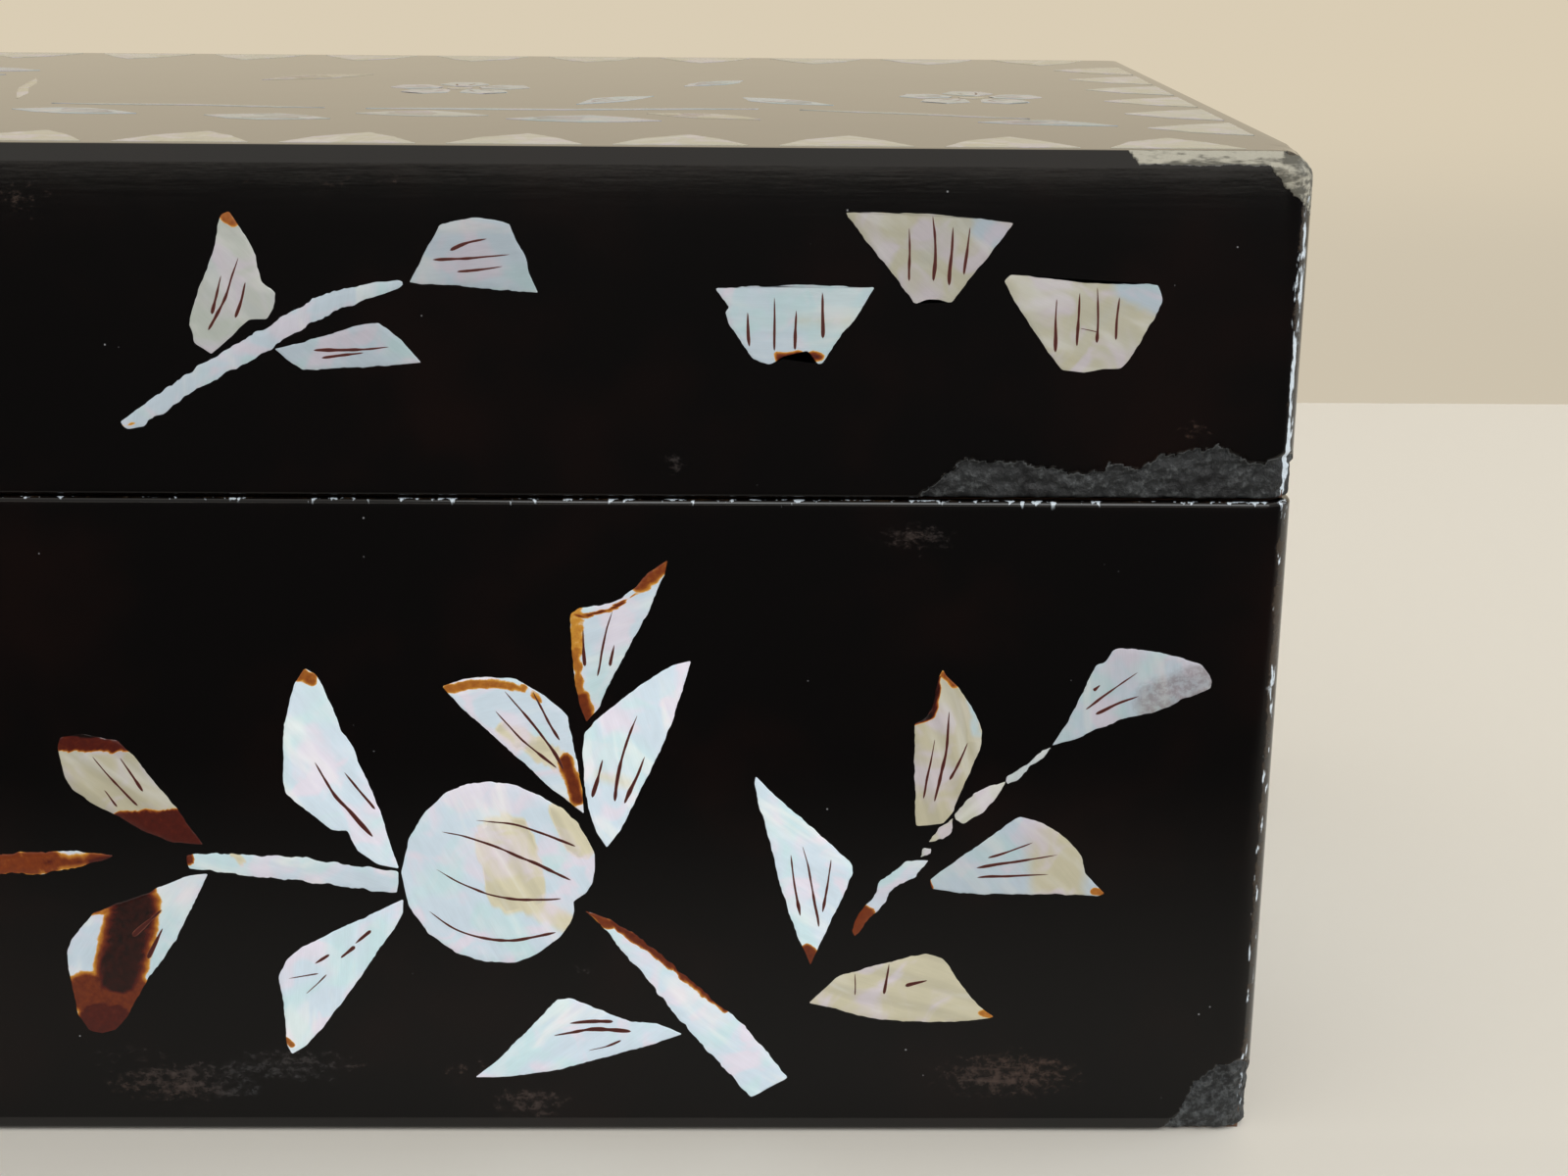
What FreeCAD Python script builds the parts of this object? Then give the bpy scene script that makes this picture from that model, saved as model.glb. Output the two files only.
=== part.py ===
import FreeCAD, Part
import math
import os
from collections import namedtuple

import Sketcher
from FreeCAD import Rotation, Vector

# A long lacquered wooden box with a hinged lid, inlaid with thick pieces of shell.
# Frame: origin under the middle of the box, +X along its length, front towards -Y, +Z up.

# ---------------------------------------------------------------- driving dimensions (mm)

DRIVING_SIZES = (
    ("width", 270, "length of the box from end to end"),
    ("depth", 120, "front to back"),
    ("height", 100, "table to top of lid"),
    ("seam_height", 67, "table to rim of the base"),
    ("seam_gap", 0.3, "open seam between the rims"),
    ("wall", 8, "thickness of wall boards and lid rails"),
    ("rabbet", 4, "depth of every rabbet in the boards"),
    ("floor", 6, "thickness of the bottom board"),
    ("ceiling", 6, "thickness of the top board"),
    ("shell", 0.8, "thickness of the shell pieces"),
    ("bedding", 0.4, "lacquer ground under the shell"),
    ("corner_radius", 3, "upright corners of the lacquer"),
    ("top_bevel", 1.5, "bevel round the top of the lid"),
    ("arris", 0.4, "bevel of the rims and of the foot"),
    ("foot_gap", 0.3, "lacquer stops short of the table"),
    ("lid_opening", 100, "angle at which the two back bevels meet"),
    ("hinge_inset", 2.2, "hinge line in from the back face"),
    ("hinge_margin", 50, "middle of a hinge in from the end of the box"),
    ("hinge_length", 26, "length of a hinge"),
    ("leaf_width", 6.2, "hinge line to the edge of a leaf"),
    ("leaf_thickness", 1, "brass sheet of the leaves"),
    ("barrel_radius", 1.9, "outside of the knuckles"),
    ("knuckle_length", 9, "middle knuckle, which belongs to the lid"),
    ("pin_radius", 0.9, "hinge pin"),
    ("fit", 0.05, "clearance of a pin in its knuckles and of a leaf in its mortise"),
    ("swing_gap", 0.3, "clearance of the turning knuckles"),
    ("spray_margin", 7, "end of the box to the shell on the base front"),
    ("back_margin", 37.9, "end of the box to the shell on the base back"),
    ("end_margin", 14.4, "corner of the box to the shell on an end of the base"),
    ("base_margin", 3.9, "foot and rim of the base to its shell"),
    ("bloom_margin", 13.8, "end of the box to the shell on the lid front and back"),
    ("petal_margin", 38, "corner of the box to the petals on an end of the lid"),
    ("lid_margin", 5.75, "rim and top of the lid to the shell on its sides"),
    ("border_inset", 3, "edge of the lid top to its border of shell"),
    ("border_length", 12.6, "length of a border piece along the edge"),
    ("border_height", 9.5, "height of a border piece in from the edge"),
    ("border_gap", 2.7, "clearance between the pieces of the border, also at the corners"),
    ("field_end_gap", 2.5, "border to the ornament of the lid top, at the ends"),
    ("field_side_gap", 11.5, "border to the ornament of the lid top, at the sides"),
)

# spots of one edge or face lie this close to it
NEAR = 0.01

# ---------------------------------------------------------------- derived places

COAT = "(Sizes.shell + Sizes.bedding)"
OUT_X = f"(Sizes.width / 2 - {COAT})"
OUT_Y = f"(Sizes.depth / 2 - {COAT})"
IN_X = f"({OUT_X} - Sizes.wall)"
IN_Y = f"({OUT_Y} - Sizes.wall)"
SEAT_X = f"({IN_X} + Sizes.rabbet)"
SEAT_Y = f"({IN_Y} + Sizes.rabbet)"
LID_BOTTOM = "(Sizes.seam_height + Sizes.seam_gap)"
LID_TOP = f"(Sizes.height - {COAT})"
AXIS_Y = "(Sizes.depth / 2 - Sizes.hinge_inset)"
AXIS_Z = "(Sizes.seam_height + Sizes.seam_gap / 2)"
BEVEL_SLOPE = "tan(Sizes.lid_opening / 2)"
BEVEL_START = f"({AXIS_Y} + Sizes.seam_gap / 2 / {BEVEL_SLOPE})"
BEVEL_DROP = f"({OUT_Y} - {AXIS_Y}) * {BEVEL_SLOPE}"
HINGE_X = "(Sizes.width / 2 - Sizes.hinge_margin)"

doc = FreeCAD.newDocument("InlaidBox")
sheet = doc.addObject("Spreadsheet::Sheet", "Sizes")
for row, (alias, size, meaning) in enumerate(DRIVING_SIZES, start=1):
    sheet.set(f"A{row}", meaning)
    sheet.set(f"B{row}", str(size))
    sheet.setAlias(f"B{row}", alias)
doc.recompute()

nodes = []


def value(expression):
    """Number that an expression on the sheet stands for."""
    return float(sheet.evalExpression(expression))


def keep(thing, label):
    """Name a finished sub-part and put it on the list of those that are written."""
    thing.Label = label
    nodes.append(thing)
    return thing


def bind(thing, **expressions):
    """Bind properties to expressions; a double underscore stands for the dot of a path."""
    for path, expression in expressions.items():
        thing.setExpression(path.replace("__", "."), expression)


# ---------------------------------------------------------------- sketches and features

def new_sketch(body, role, lift):
    """Sketch on one of the body's own origin planes, lifted along the plane's normal."""
    plane = [item for item in body.Origin.OriginFeatures if item.Role == role][0]
    sketch = body.newObject("Sketcher::SketchObject", "Profile")
    sketch.AttachmentSupport = (plane, [""])
    sketch.MapMode = "FlatFace"
    bind(sketch, AttachmentOffset__Base__z=lift)
    return sketch


def add_outline(sketch, corners):
    """Closed outline whose corners are pairs of expressions, each held by two dimensions."""
    spots = [Vector(value(across), value(up), 0) for across, up in corners]
    first = sketch.GeometryCount
    count = len(spots)
    for index in range(count):
        sketch.addGeometry(Part.LineSegment(spots[index], spots[(index + 1) % count]), False)
    for index in range(count):
        following = first + (index + 1) % count
        sketch.addConstraint(Sketcher.Constraint("Coincident", first + index, 2, following, 1))
    for index, (across, up) in enumerate(corners):
        for kind, expression in (("DistanceX", across), ("DistanceY", up)):
            held = Sketcher.Constraint(kind, -1, 1, first + index, 1, value(expression))
            number = sketch.addConstraint(held)
            sketch.setExpression(f"Constraints[{number}]", expression)


def outline_sketch(body, role, *outlines, lift="0"):
    sketch = new_sketch(body, role, lift)
    for corners in outlines:
        add_outline(sketch, corners)
    return sketch


def circle_sketch(body, role, centres, radius, lift="0"):
    """Equal circles at the centres given as pairs of expressions."""
    sketch = new_sketch(body, role, lift)
    for across, up in centres:
        spot = Vector(value(across), value(up), 0)
        index = sketch.addGeometry(Part.Circle(spot, Vector(0, 0, 1), value(radius)), False)
        for kind, expression in (("DistanceX", across), ("DistanceY", up)):
            held = Sketcher.Constraint(kind, -1, 1, index, 3, value(expression))
            number = sketch.addConstraint(held)
            sketch.setExpression(f"Constraints[{number}]", expression)
        number = sketch.addConstraint(Sketcher.Constraint("Radius", index, value(radius)))
        sketch.setExpression(f"Constraints[{number}]", radius)
    return sketch


def rectangle(left, right, low, high):
    return ((left, low), (right, low), (right, high), (left, high))


def pad(body, sketch, length, side="One side"):
    feature = body.newObject("PartDesign::Pad", "Pad")
    feature.Profile = sketch
    feature.SideType = side
    bind(feature, Length=length)
    doc.recompute()
    return feature


def pocket(body, sketch, length, side="One side", reverse=False):
    """Cut the sketch into the body, and make sure that it took something away."""
    before = body.Shape.Volume
    feature = body.newObject("PartDesign::Pocket", "Pocket")
    feature.Profile = sketch
    feature.SideType = side
    feature.Reversed = reverse
    bind(feature, Length=length)
    doc.recompute()
    if not body.Shape.Volume < before:
        raise RuntimeError(f"{body.Label}: a pocket cuts nothing")
    return feature


def chamfer(body, size, chosen):
    """Bevel those edges of the body for which the test holds at both ends and the middle."""
    base = body.Tip
    names = []
    for number, edge in enumerate(base.Shape.Edges, start=1):
        spots = [edge.valueAt(edge.FirstParameter), edge.valueAt(edge.LastParameter)]
        spots.append(edge.valueAt((edge.FirstParameter + edge.LastParameter) / 2))
        if all(chosen(spot) for spot in spots):
            names.append(f"Edge{number}")
    feature = body.newObject("PartDesign::Chamfer", "Bevel")
    feature.Base = (base, names)
    bind(feature, Size=size)
    doc.recompute()
    return feature


def new_body(label):
    return keep(doc.addObject("PartDesign::Body", "Body"), label)


# ---------------------------------------------------------------- wooden carcass

def base_wall_profile(side, out, inner, seat, bevelled):
    """Section of a base wall: board with a rabbet for the bottom; the back one is bevelled."""
    rim = [(f"{side} * {out}", "Sizes.seam_height")]
    if bevelled:
        rim = [(out, f"{AXIS_Z} - {BEVEL_DROP}"), (BEVEL_START, "Sizes.seam_height")]
    return [
        (f"{side} * {seat}", "0"),
        (f"{side} * {out}", "0"),
        *rim,
        (f"{side} * {inner}", "Sizes.seam_height"),
        (f"{side} * {inner}", "Sizes.floor"),
        (f"{side} * {seat}", "Sizes.floor"),
    ]


def lid_rail_profile(side, out, inner, seat, bevelled):
    """Section of a lid rail: board with a rabbet for the top; the back one is bevelled."""
    underside = f"({LID_TOP} - Sizes.ceiling)"
    rim = [(f"{side} * {out}", LID_BOTTOM)]
    if bevelled:
        rim = [(BEVEL_START, LID_BOTTOM), (out, f"{AXIS_Z} + {BEVEL_DROP}")]
    return [
        (f"{side} * {inner}", LID_BOTTOM),
        *rim,
        (f"{side} * {out}", LID_TOP),
        (f"{side} * {seat}", LID_TOP),
        (f"{side} * {seat}", underside),
        (f"{side} * {inner}", underside),
    ]


def cut_end_rabbets(body, side):
    """Rabbets in which the end boards stand, one at each end of a long board."""
    ends = []
    for end in (-1, 1):
        ends.append(rectangle(f"{end} * {IN_X}", f"{end} * Sizes.width",
                              f"{side} * {IN_Y}", f"{side} * {SEAT_Y}"))
    sketch = outline_sketch(body, "XY_Plane", *ends)
    pocket(body, sketch, "Sizes.height * 2", side="Symmetric")


def cut_hinge_seats(body, rim, direction):
    """Mortises and knuckle hollows for both hinges, cut in from the rim."""
    upwards = direction > 0
    for hinge in (-1, 1):
        middle = f"({hinge} * {HINGE_X})"
        half = "(Sizes.hinge_length / 2 + Sizes.fit)"
        mortise = rectangle(f"{middle} - {half}", f"{middle} + {half}",
                            f"{AXIS_Y} - Sizes.leaf_width - Sizes.fit", "Sizes.depth")
        sketch = outline_sketch(body, "XY_Plane", mortise, lift=rim)
        pocket(body, sketch, "Sizes.leaf_thickness", reverse=upwards)
        cut_knuckle_hollow(body, middle)


def cut_knuckle_hollow(body, middle):
    """Round hollow about the hinge line in which the knuckles turn."""
    hollow = circle_sketch(body, "YZ_Plane", [(AXIS_Y, AXIS_Z)],
                           "Sizes.barrel_radius + Sizes.swing_gap", lift=middle)
    pocket(body, hollow, "Sizes.hinge_length + 2 * Sizes.swing_gap", side="Symmetric")


def long_board(label, side, profile):
    """Front or back board of the base or of the lid."""
    body = new_body(label)
    section = profile(side, OUT_Y, IN_Y, SEAT_Y, bevelled=side > 0)
    pad(body, outline_sketch(body, "YZ_Plane", section), f"2 * {OUT_X}", side="Symmetric")
    cut_end_rabbets(body, side)
    return body


def end_board(label, end, profile):
    """Left or right board of the base or of the lid, standing in the end rabbets."""
    body = new_body(label)
    section = profile(end, OUT_X, IN_X, SEAT_X, bevelled=False)
    pad(body, outline_sketch(body, "XZ_Plane", section), f"2 * {SEAT_Y}", side="Symmetric")
    return body


def flat_board(label, low, thickness):
    """Bottom board or top board, lying in the rabbets of the walls."""
    body = new_body(label)
    outline = rectangle(f"-{SEAT_X}", SEAT_X, f"-{SEAT_Y}", SEAT_Y)
    pad(body, outline_sketch(body, "XY_Plane", outline, lift=low), thickness)
    return body


def carcass():
    long_board("base_front_wall", -1, base_wall_profile)
    cut_hinge_seats(long_board("base_back_wall", 1, base_wall_profile), "Sizes.seam_height", -1)
    end_board("base_left_wall", -1, base_wall_profile)
    end_board("base_right_wall", 1, base_wall_profile)
    flat_board("base_bottom_board", "0", "Sizes.floor")

    long_board("lid_front_rail", -1, lid_rail_profile)
    cut_hinge_seats(long_board("lid_back_rail", 1, lid_rail_profile), LID_BOTTOM, 1)
    end_board("lid_left_rail", -1, lid_rail_profile)
    end_board("lid_right_rail", 1, lid_rail_profile)
    flat_board("lid_top_board", f"{LID_TOP} - Sizes.ceiling", "Sizes.ceiling")


# ---------------------------------------------------------------- brass hinges

def knuckle_spans():
    """Spans of the three knuckles along a hinge, from its middle: (from, to, whose)."""
    half = "(Sizes.hinge_length / 2)"
    inner = "(Sizes.knuckle_length / 2)"
    clear = "(Sizes.swing_gap / 2)"
    return (
        (f"(-{half})", f"(-{inner} - {clear})", "base"),
        (f"(-{inner} + {clear})", f"({inner} - {clear})", "lid"),
        (f"({inner} + {clear})", half, "base"),
    )


def box(start_x, start_y, start_z, length, width, height):
    """Part box with its corner and sides bound to expressions."""
    solid = doc.addObject("Part::Box", "Sheet")
    bind(solid, Length=length, Width=width, Height=height,
         Placement__Base__x=start_x, Placement__Base__y=start_y, Placement__Base__z=start_z)
    return solid


def rod(start_x, length, radius):
    """Cylinder along the hinge line."""
    solid = doc.addObject("Part::Cylinder", "Rod")
    solid.Placement.Rotation = Rotation(Vector(0, 1, 0), 90)
    bind(solid, Radius=radius, Height=length, Placement__Base__x=start_x,
         Placement__Base__y=AXIS_Y, Placement__Base__z=AXIS_Z)
    return solid


def hinge_leaf(label, middle, owner):
    """Leaf let into a rim: sheet, and rolled knuckles on the hinge line with a bore."""
    low = LID_BOTTOM if owner == "lid" else "(Sizes.seam_height - Sizes.leaf_thickness)"
    edge = f"({AXIS_Y} - Sizes.leaf_width)"
    sheet_width = "(Sizes.leaf_width - Sizes.barrel_radius - Sizes.swing_gap)"
    metal = [box(f"{middle} - Sizes.hinge_length / 2", edge, low,
                 "Sizes.hinge_length", sheet_width, "Sizes.leaf_thickness")]
    for start, stop, whose in knuckle_spans():
        if whose != owner:
            continue
        span = f"({stop} - {start})"
        metal.append(box(f"{middle} + {start}", edge, low,
                         span, "Sizes.leaf_width", "Sizes.leaf_thickness"))
        metal.append(rod(f"{middle} + {start}", span, "Sizes.barrel_radius"))
    solid = doc.addObject("Part::MultiFuse", "Rolled")
    solid.Shapes = metal
    solid.Refine = True
    leaf = keep(doc.addObject("Part::Cut", "HingeLeaf"), label)
    leaf.Base = solid
    leaf.Tool = rod(f"{middle} - Sizes.hinge_length", "2 * Sizes.hinge_length",
                    "Sizes.pin_radius + Sizes.fit")


def hinges():
    for name, side in (("left", -1), ("right", 1)):
        middle = f"({side} * {HINGE_X})"
        hinge_leaf(f"hinge_base_leaf_{name}", middle, "base")
        hinge_leaf(f"hinge_lid_leaf_{name}", middle, "lid")
        pin = rod(f"{middle} - Sizes.hinge_length / 2", "Sizes.hinge_length", "Sizes.pin_radius")
        keep(pin, f"hinge_pin_{name}")


# ---------------------------------------------------------------- shell ornament

# Hand-cut pieces of shell. Each is a ring of corners from its root along its right edge to
# its tip and back along its left edge, across and up from the middle of its face.
# A Disc is a round piece with a bite out of its rim: it is round from the angle start to
# the angle end, and closed through the notch, which is measured from its middle.
Disc = namedtuple("Disc", "middle radius start end notch")

# Spray on the right half of the base front.
BASE_LEAVES = (
    ((29.2, -1.8), (22.9, 7.7), (21.5, 9.1), (18.1, 9.8), (16.1, 9.4), (15.7, 8.4), (16.8, 4),
     (23.4, -0.4)),
    ((29.3, -5.2), (18, -9.1), (15.5, -12), (14.9, -15.3), (15.5, -20.3), (16.5, -22.1),
     (17.8, -22.4), (20.4, -20.6)),
    ((48, -3.6), (44.4, 8.5), (41.8, 14.7), (40.1, 16.6), (37.8, 10.4), (37.7, 3.5), (42, -0.2),
     (43.5, -0.3), (44.6, -2.4)),
    ((48.3, -7.6), (36.8, -14.2), (35.9, -16.1), (36.8, -24.7), (40.2, -21.5), (44.5, -15.5),
     (48.3, -9.1)),
    ((66.8, 1.6), (65.4, 11.8), (60.4, 15.6), (57.7, 15.8), (53.3, 14.8)),
    ((67.2, 11.2), (73.1, 22), (75.2, 27.6), (70.7, 23.7), (65.9, 22.2)),
    ((69, -2), (74.4, 8.3), (77.4, 17.5), (73.1, 15.4), (67, 9.9), (67.2, 2.2)),
    ((55.3, -27.3), (63.9, -26.4), (76.4, -22.4), (65.2, -18.4), (63.8, -18.6)),
    ((83.7, 5.6), (85.8, -4.4), (89.3, -14.7), (93.4, -4.7), (93.2, -3.6)),
    ((100.9, 0.5), (103.2, 1.8), (105.7, 8.5), (105.4, 11.5), (101.8, 16.7), (100.4, 11.9),
     (99.2, 11.2), (99.6, 0.4)),
    ((112.7, 8.9), (123.7, 12.9), (128, 15.6), (126.8, 17.4), (118.2, 18.7), (116.7, 17.2)),
    ((101.1, -5.4), (101.3, -6.3), (104.1, -6.8), (118.6, -6.8), (113.7, -0.2), (109.8, 1.4)),
    ((89.2, -18.9), (99.6, -21), (108, -20.4), (102.7, -14), (101, -13.4), (92.4, -15.7)),
)
BASE_STEMS = (
    ((3, -5), (13, -4.9), (20.3, -3), (15.8, -2.5), (3, -3.2)),
    ((27.5, -4.4), (48, -6.9), (48.1, -4.8), (39.2, -3.2), (27.5, -2.9)),
    ((66.7, -8.8), (83.4, -29.6), (87.1, -27.3), (82.1, -20.9), (71.4, -11)),
    ((93.7, -11.5), (97, -6.8), (100.9, -3.4), (98.6, -3.4), (95.9, -5.8)),
    ((100.1, -2.8), (101.2, -2.7), (101.1, -2), (100.2, -2.1)),
    ((100.9, -1.3), (102, -1.1), (103.2, -0.2), (103.2, 1.2), (102, 0.4)),
    ((103.5, 1.1), (104.2, 0.7), (106, 1.8), (108, 4.8), (104.4, 3)),
    ((108.6, 5.2), (109.5, 5.3), (112.2, 8.2), (110.9, 7.6)),
)
BASE_LINK = ((1.3, -2.3), (2.4, -1.1), (-1.3, 2.3), (-2.4, 1.1))
FRUIT = Disc((58.2, -4.8), 9.6, -3, 310, (7.4, -3))

# Right half of the lid front.
LID_LEAVES = (
    ((33, -2.9), (36.7, 0.4), (38.3, 0.4), (39.3, 2.9), (38.1, 3.8), (35.4, 10.3), (34.3, 9),
     (31.2, -0.2), (31.5, -1.9)),
    ((51.6, 3.9), (63.4, 3), (60.9, 9.3), (57.5, 10), (54.5, 9.1)),
    ((39.2, -2.6), (41.4, -4.4), (52.4, -3.6), (48.6, 0.1), (42.1, -1.6)),
)
LID_STEM = ((24.4, -9.8), (26.3, -9.8), (41.3, -0.6), (51, 3.6), (43.2, 2.6), (31.7, -4.1))
LID_PETALS = (
    ((86.1, -2.8), (88.4, -2.2), (89.5, -3.6), (94.5, 3.8), (79.8, 3.5), (83.1, -3), (84.8, -3.6)),
    ((99.9, 2.6), (101.6, 2.3), (107.1, 9.8), (91.6, 10.6), (98.2, 2.2)),
    ((114.2, -4.2), (117.6, -3.8), (121.2, 2.6), (120.7, 4.1), (107, 5), (106.4, 4.3),
     (112.1, -4)),
)

# Right half of the lid top. A Leaf is pointed at both ends; its widths to the left and to
# the right of the line from its root to its tip are taken at equal steps between them.
Leaf = namedtuple("Leaf", "root tip left right")
TOP_LEAVES = (
    Leaf((40.5, -34), (27, -31), (1.8, 3, 2.4), (2.4, 3.6, 2)),
    Leaf((42, -28), (56, -29.5), (3, 4.2, 2.6), (1.4, 2, 1.6)),
    Leaf((58, -33), (74, -34), (3.4, 5, 3.2), (1.6, 2.4, 1.8)),
    Leaf((72, -26), (84, -32), (2, 3.2, 2.4), (1.2, 1.8, 1)),
    Leaf((20, -30), (6, -26), (1.6, 2.4, 1.8), (2.2, 3.6, 3)),
    Leaf((92, -15), (82, -6), (1.8, 3, 2.6), (1.2, 2, 1.6)),
    Leaf((106, -33), (120, -36), (3, 4.2, 2.6), (0.8, 1, 0.8)),
    Leaf((64, -16), (72, -5), (1.8, 3.4, 2.6), (1.2, 1.6, 1)),
    Leaf((75, 9), (82, 18), (1.6, 2.4, 1.8), (1.4, 2.2, 1.6)),
    Leaf((24, 14), (36, 24), (2, 3.2, 2), (1.6, 2.6, 1.8)),
)
TOP_STEMS = (
    ((7.9, -19.7), (23, -20.3), (37.9, -22.6), (38.1, -21.4), (23.2, -18.9), (8.1, -18.3)),
    ((42, -23.2), (63.1, -22.9), (84, -20.6), (84, -19.4), (63, -21.7), (42, -22)),
    ((87.8, -21.1), (99.9, -24.9), (111.9, -29.4), (112.1, -28.6), (100.4, -23.6), (88.2, -19.9)),
)
TOP_LINK = ((2.4, -14.1), (3.6, -13.9), (-2.4, 14.1), (-3.6, 13.9))
BLOSSOMS = ((49, 4), (108, -4))
PETAL_COUNT = 5
EYE_RADIUS = 1.5
# a petal of a blossom: outwards from its middle and to the side
PETAL = ((2.4, -0.8), (5.2, -3), (8, -1.8), (8, 1.8), (5.2, 3), (2.4, 0.8))
# a border piece: shares of its length along the edge and of its height in from the edge
BORDER_PEAK = ((0, 0), (0.2, 0.58), (0.55, 1), (0.79, 0.58), (1, 0))

# the pieces that an end of the box and a half of its back repeat, and how far they shift
SPRAY_MIDDLE = 60.5
END_SPRAY = (*BASE_LEAVES[:10], *BASE_STEMS[1:3], FRUIT)
BACK_SHIFT = 10
BACK_SPRAY = (*BASE_LEAVES[2:8], *BASE_STEMS[1:3])
CLUSTER_MIDDLE = 99.2


def leaf_corners(leaf):
    """Ring of a leaf, down its right side and back along its left side."""
    root, tip = Vector(*leaf.root, 0), Vector(*leaf.tip, 0)
    along = tip - root
    leftwards = Vector(-along.y, along.x, 0).normalize()
    steps = len(leaf.right) + 1
    right = [root + along * (step / steps) - leftwards * width
             for step, width in enumerate(leaf.right, start=1)]
    left = [root + along * (step / steps) + leftwards * width
            for step, width in enumerate(leaf.left, start=1)]
    return [(spot.x, spot.y) for spot in (root, *right, tip, *reversed(left))]


def moved(outline, across):
    if isinstance(outline, Disc):
        return outline._replace(middle=(outline.middle[0] + across, outline.middle[1]))
    return [(spot[0] + across, spot[1]) for spot in outline]


def half_turned(outline):
    """The outline turned half round about the middle of its face."""
    if isinstance(outline, Disc):
        return Disc((-outline.middle[0], -outline.middle[1]), outline.radius,
                    outline.start + 180, outline.end + 180, (-outline.notch[0], -outline.notch[1]))
    return [(-across, -up) for across, up in outline]


def both_halves(outlines):
    """The outlines and their half-turned copies on the other half of the face."""
    return [*outlines, *(half_turned(outline) for outline in outlines)]


def both_sides(outlines):
    """The outlines and their mirror images on the left half of the face."""
    mirrored = [[(-across, up) for across, up in outline] for outline in outlines]
    return [*outlines, *mirrored]


def turned(spot, middle, degrees):
    """A spot given from the middle of a blossom, turned about it."""
    turn = Rotation(Vector(0, 0, 1), degrees)
    placed = Vector(*middle, 0) + turn.multVec(Vector(*spot, 0))
    return placed.x, placed.y


def blossom(middle):
    """Petals set evenly round a small eye, which has a corner for each of them."""
    turns = [90 + 360 * index / PETAL_COUNT for index in range(PETAL_COUNT)]
    eye = [turned((EYE_RADIUS, 0), middle, turn) for turn in turns]
    return [eye, *([turned(spot, middle, turn) for spot in PETAL] for turn in turns)]


def border_row(along, inward, room, reach):
    """As many peaks as the room along one edge of the lid top holds, pointing inwards."""
    length, height = value("Sizes.border_length"), value("Sizes.border_height")
    gap = value("Sizes.border_gap")
    pitch = length + gap
    count = int((room + gap) / pitch)
    pieces = []
    for index in range(count):
        start = (index - (count - 1) / 2) * pitch - length / 2
        spots = [along * (start + run * length) + inward * (rise * height - reach)
                 for run, rise in BORDER_PEAK]
        pieces.append([(spot.x, spot.y) for spot in spots])
    return pieces


def border():
    """Rows of low peaks round the lid top; the rows at the ends stay clear of the long ones."""
    inset, height = value("Sizes.border_inset"), value("Sizes.border_height")
    half_width, half_depth = value("Sizes.width / 2"), value("Sizes.depth / 2")
    side_room = 2 * (half_width - inset)
    end_room = 2 * (half_depth - inset - height - value("Sizes.border_gap"))
    return [
        *border_row(Vector(1, 0, 0), Vector(0, 1, 0), side_room, half_depth - inset),
        *border_row(Vector(-1, 0, 0), Vector(0, -1, 0), side_room, half_depth - inset),
        *border_row(Vector(0, 1, 0), Vector(-1, 0, 0), end_room, half_width - inset),
        *border_row(Vector(0, -1, 0), Vector(1, 0, 0), end_room, half_width - inset),
    ]


# A face of the lacquer coat: its directions across and up as seen from outside, its middle,
# and the room that its ornament may fill on each side of the middle, across and up.
Face = namedtuple("Face", "across up middle room")

EAST, NORTH, UP = Vector(1, 0, 0), Vector(0, 1, 0), Vector(0, 0, 1)
FRONT = ("0", "-Sizes.depth / 2")
BACK = ("0", "Sizes.depth / 2")
RIGHT = ("Sizes.width / 2", "0")
LEFT = ("-Sizes.width / 2", "0")
BASE_MIDDLE = "Sizes.seam_height / 2"
LID_MIDDLE = f"(Sizes.height + {LID_BOTTOM}) / 2"
BASE_RISE = "Sizes.seam_height / 2 - Sizes.base_margin"
LID_RISE = f"(Sizes.height - {LID_BOTTOM}) / 2 - Sizes.lid_margin"
END_REACH = "Sizes.depth / 2 - Sizes.end_margin"
PETAL_REACH = "Sizes.depth / 2 - Sizes.petal_margin"
BORDER_DEPTH = "(Sizes.border_inset + Sizes.border_height)"

BASE_FRONT = Face(EAST, UP, (*FRONT, BASE_MIDDLE), ("Sizes.width / 2 - Sizes.spray_margin", BASE_RISE))
BASE_BACK = Face(-EAST, UP, (*BACK, BASE_MIDDLE), ("Sizes.width / 2 - Sizes.back_margin", BASE_RISE))
BASE_RIGHT = Face(NORTH, UP, (*RIGHT, BASE_MIDDLE), (END_REACH, BASE_RISE))
BASE_LEFT = Face(-NORTH, UP, (*LEFT, BASE_MIDDLE), (END_REACH, BASE_RISE))
LID_FRONT = Face(EAST, UP, (*FRONT, LID_MIDDLE), ("Sizes.width / 2 - Sizes.bloom_margin", LID_RISE))
LID_BACK = Face(-EAST, UP, (*BACK, LID_MIDDLE), ("Sizes.width / 2 - Sizes.bloom_margin", LID_RISE))
LID_RIGHT = Face(NORTH, UP, (*RIGHT, LID_MIDDLE), (PETAL_REACH, LID_RISE))
LID_LEFT = Face(-NORTH, UP, (*LEFT, LID_MIDDLE), (PETAL_REACH, LID_RISE))
LID_FACE = Face(EAST, NORTH, ("0", "0", "Sizes.height"),
                (f"Sizes.width / 2 - {BORDER_DEPTH} - Sizes.field_end_gap",
                 f"Sizes.depth / 2 - {BORDER_DEPTH} - Sizes.field_side_gap"))


def reach_of(outlines):
    """How far outlines reach from the middle of their face, across and up."""
    spots = []
    for outline in outlines:
        if isinstance(outline, Disc):
            across, up = outline.middle
            spots.append((abs(across) + outline.radius, abs(up) + outline.radius))
        else:
            spots += [(abs(across), abs(up)) for across, up in outline]
    return max(across for across, up in spots), max(up for across, up in spots)


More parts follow.
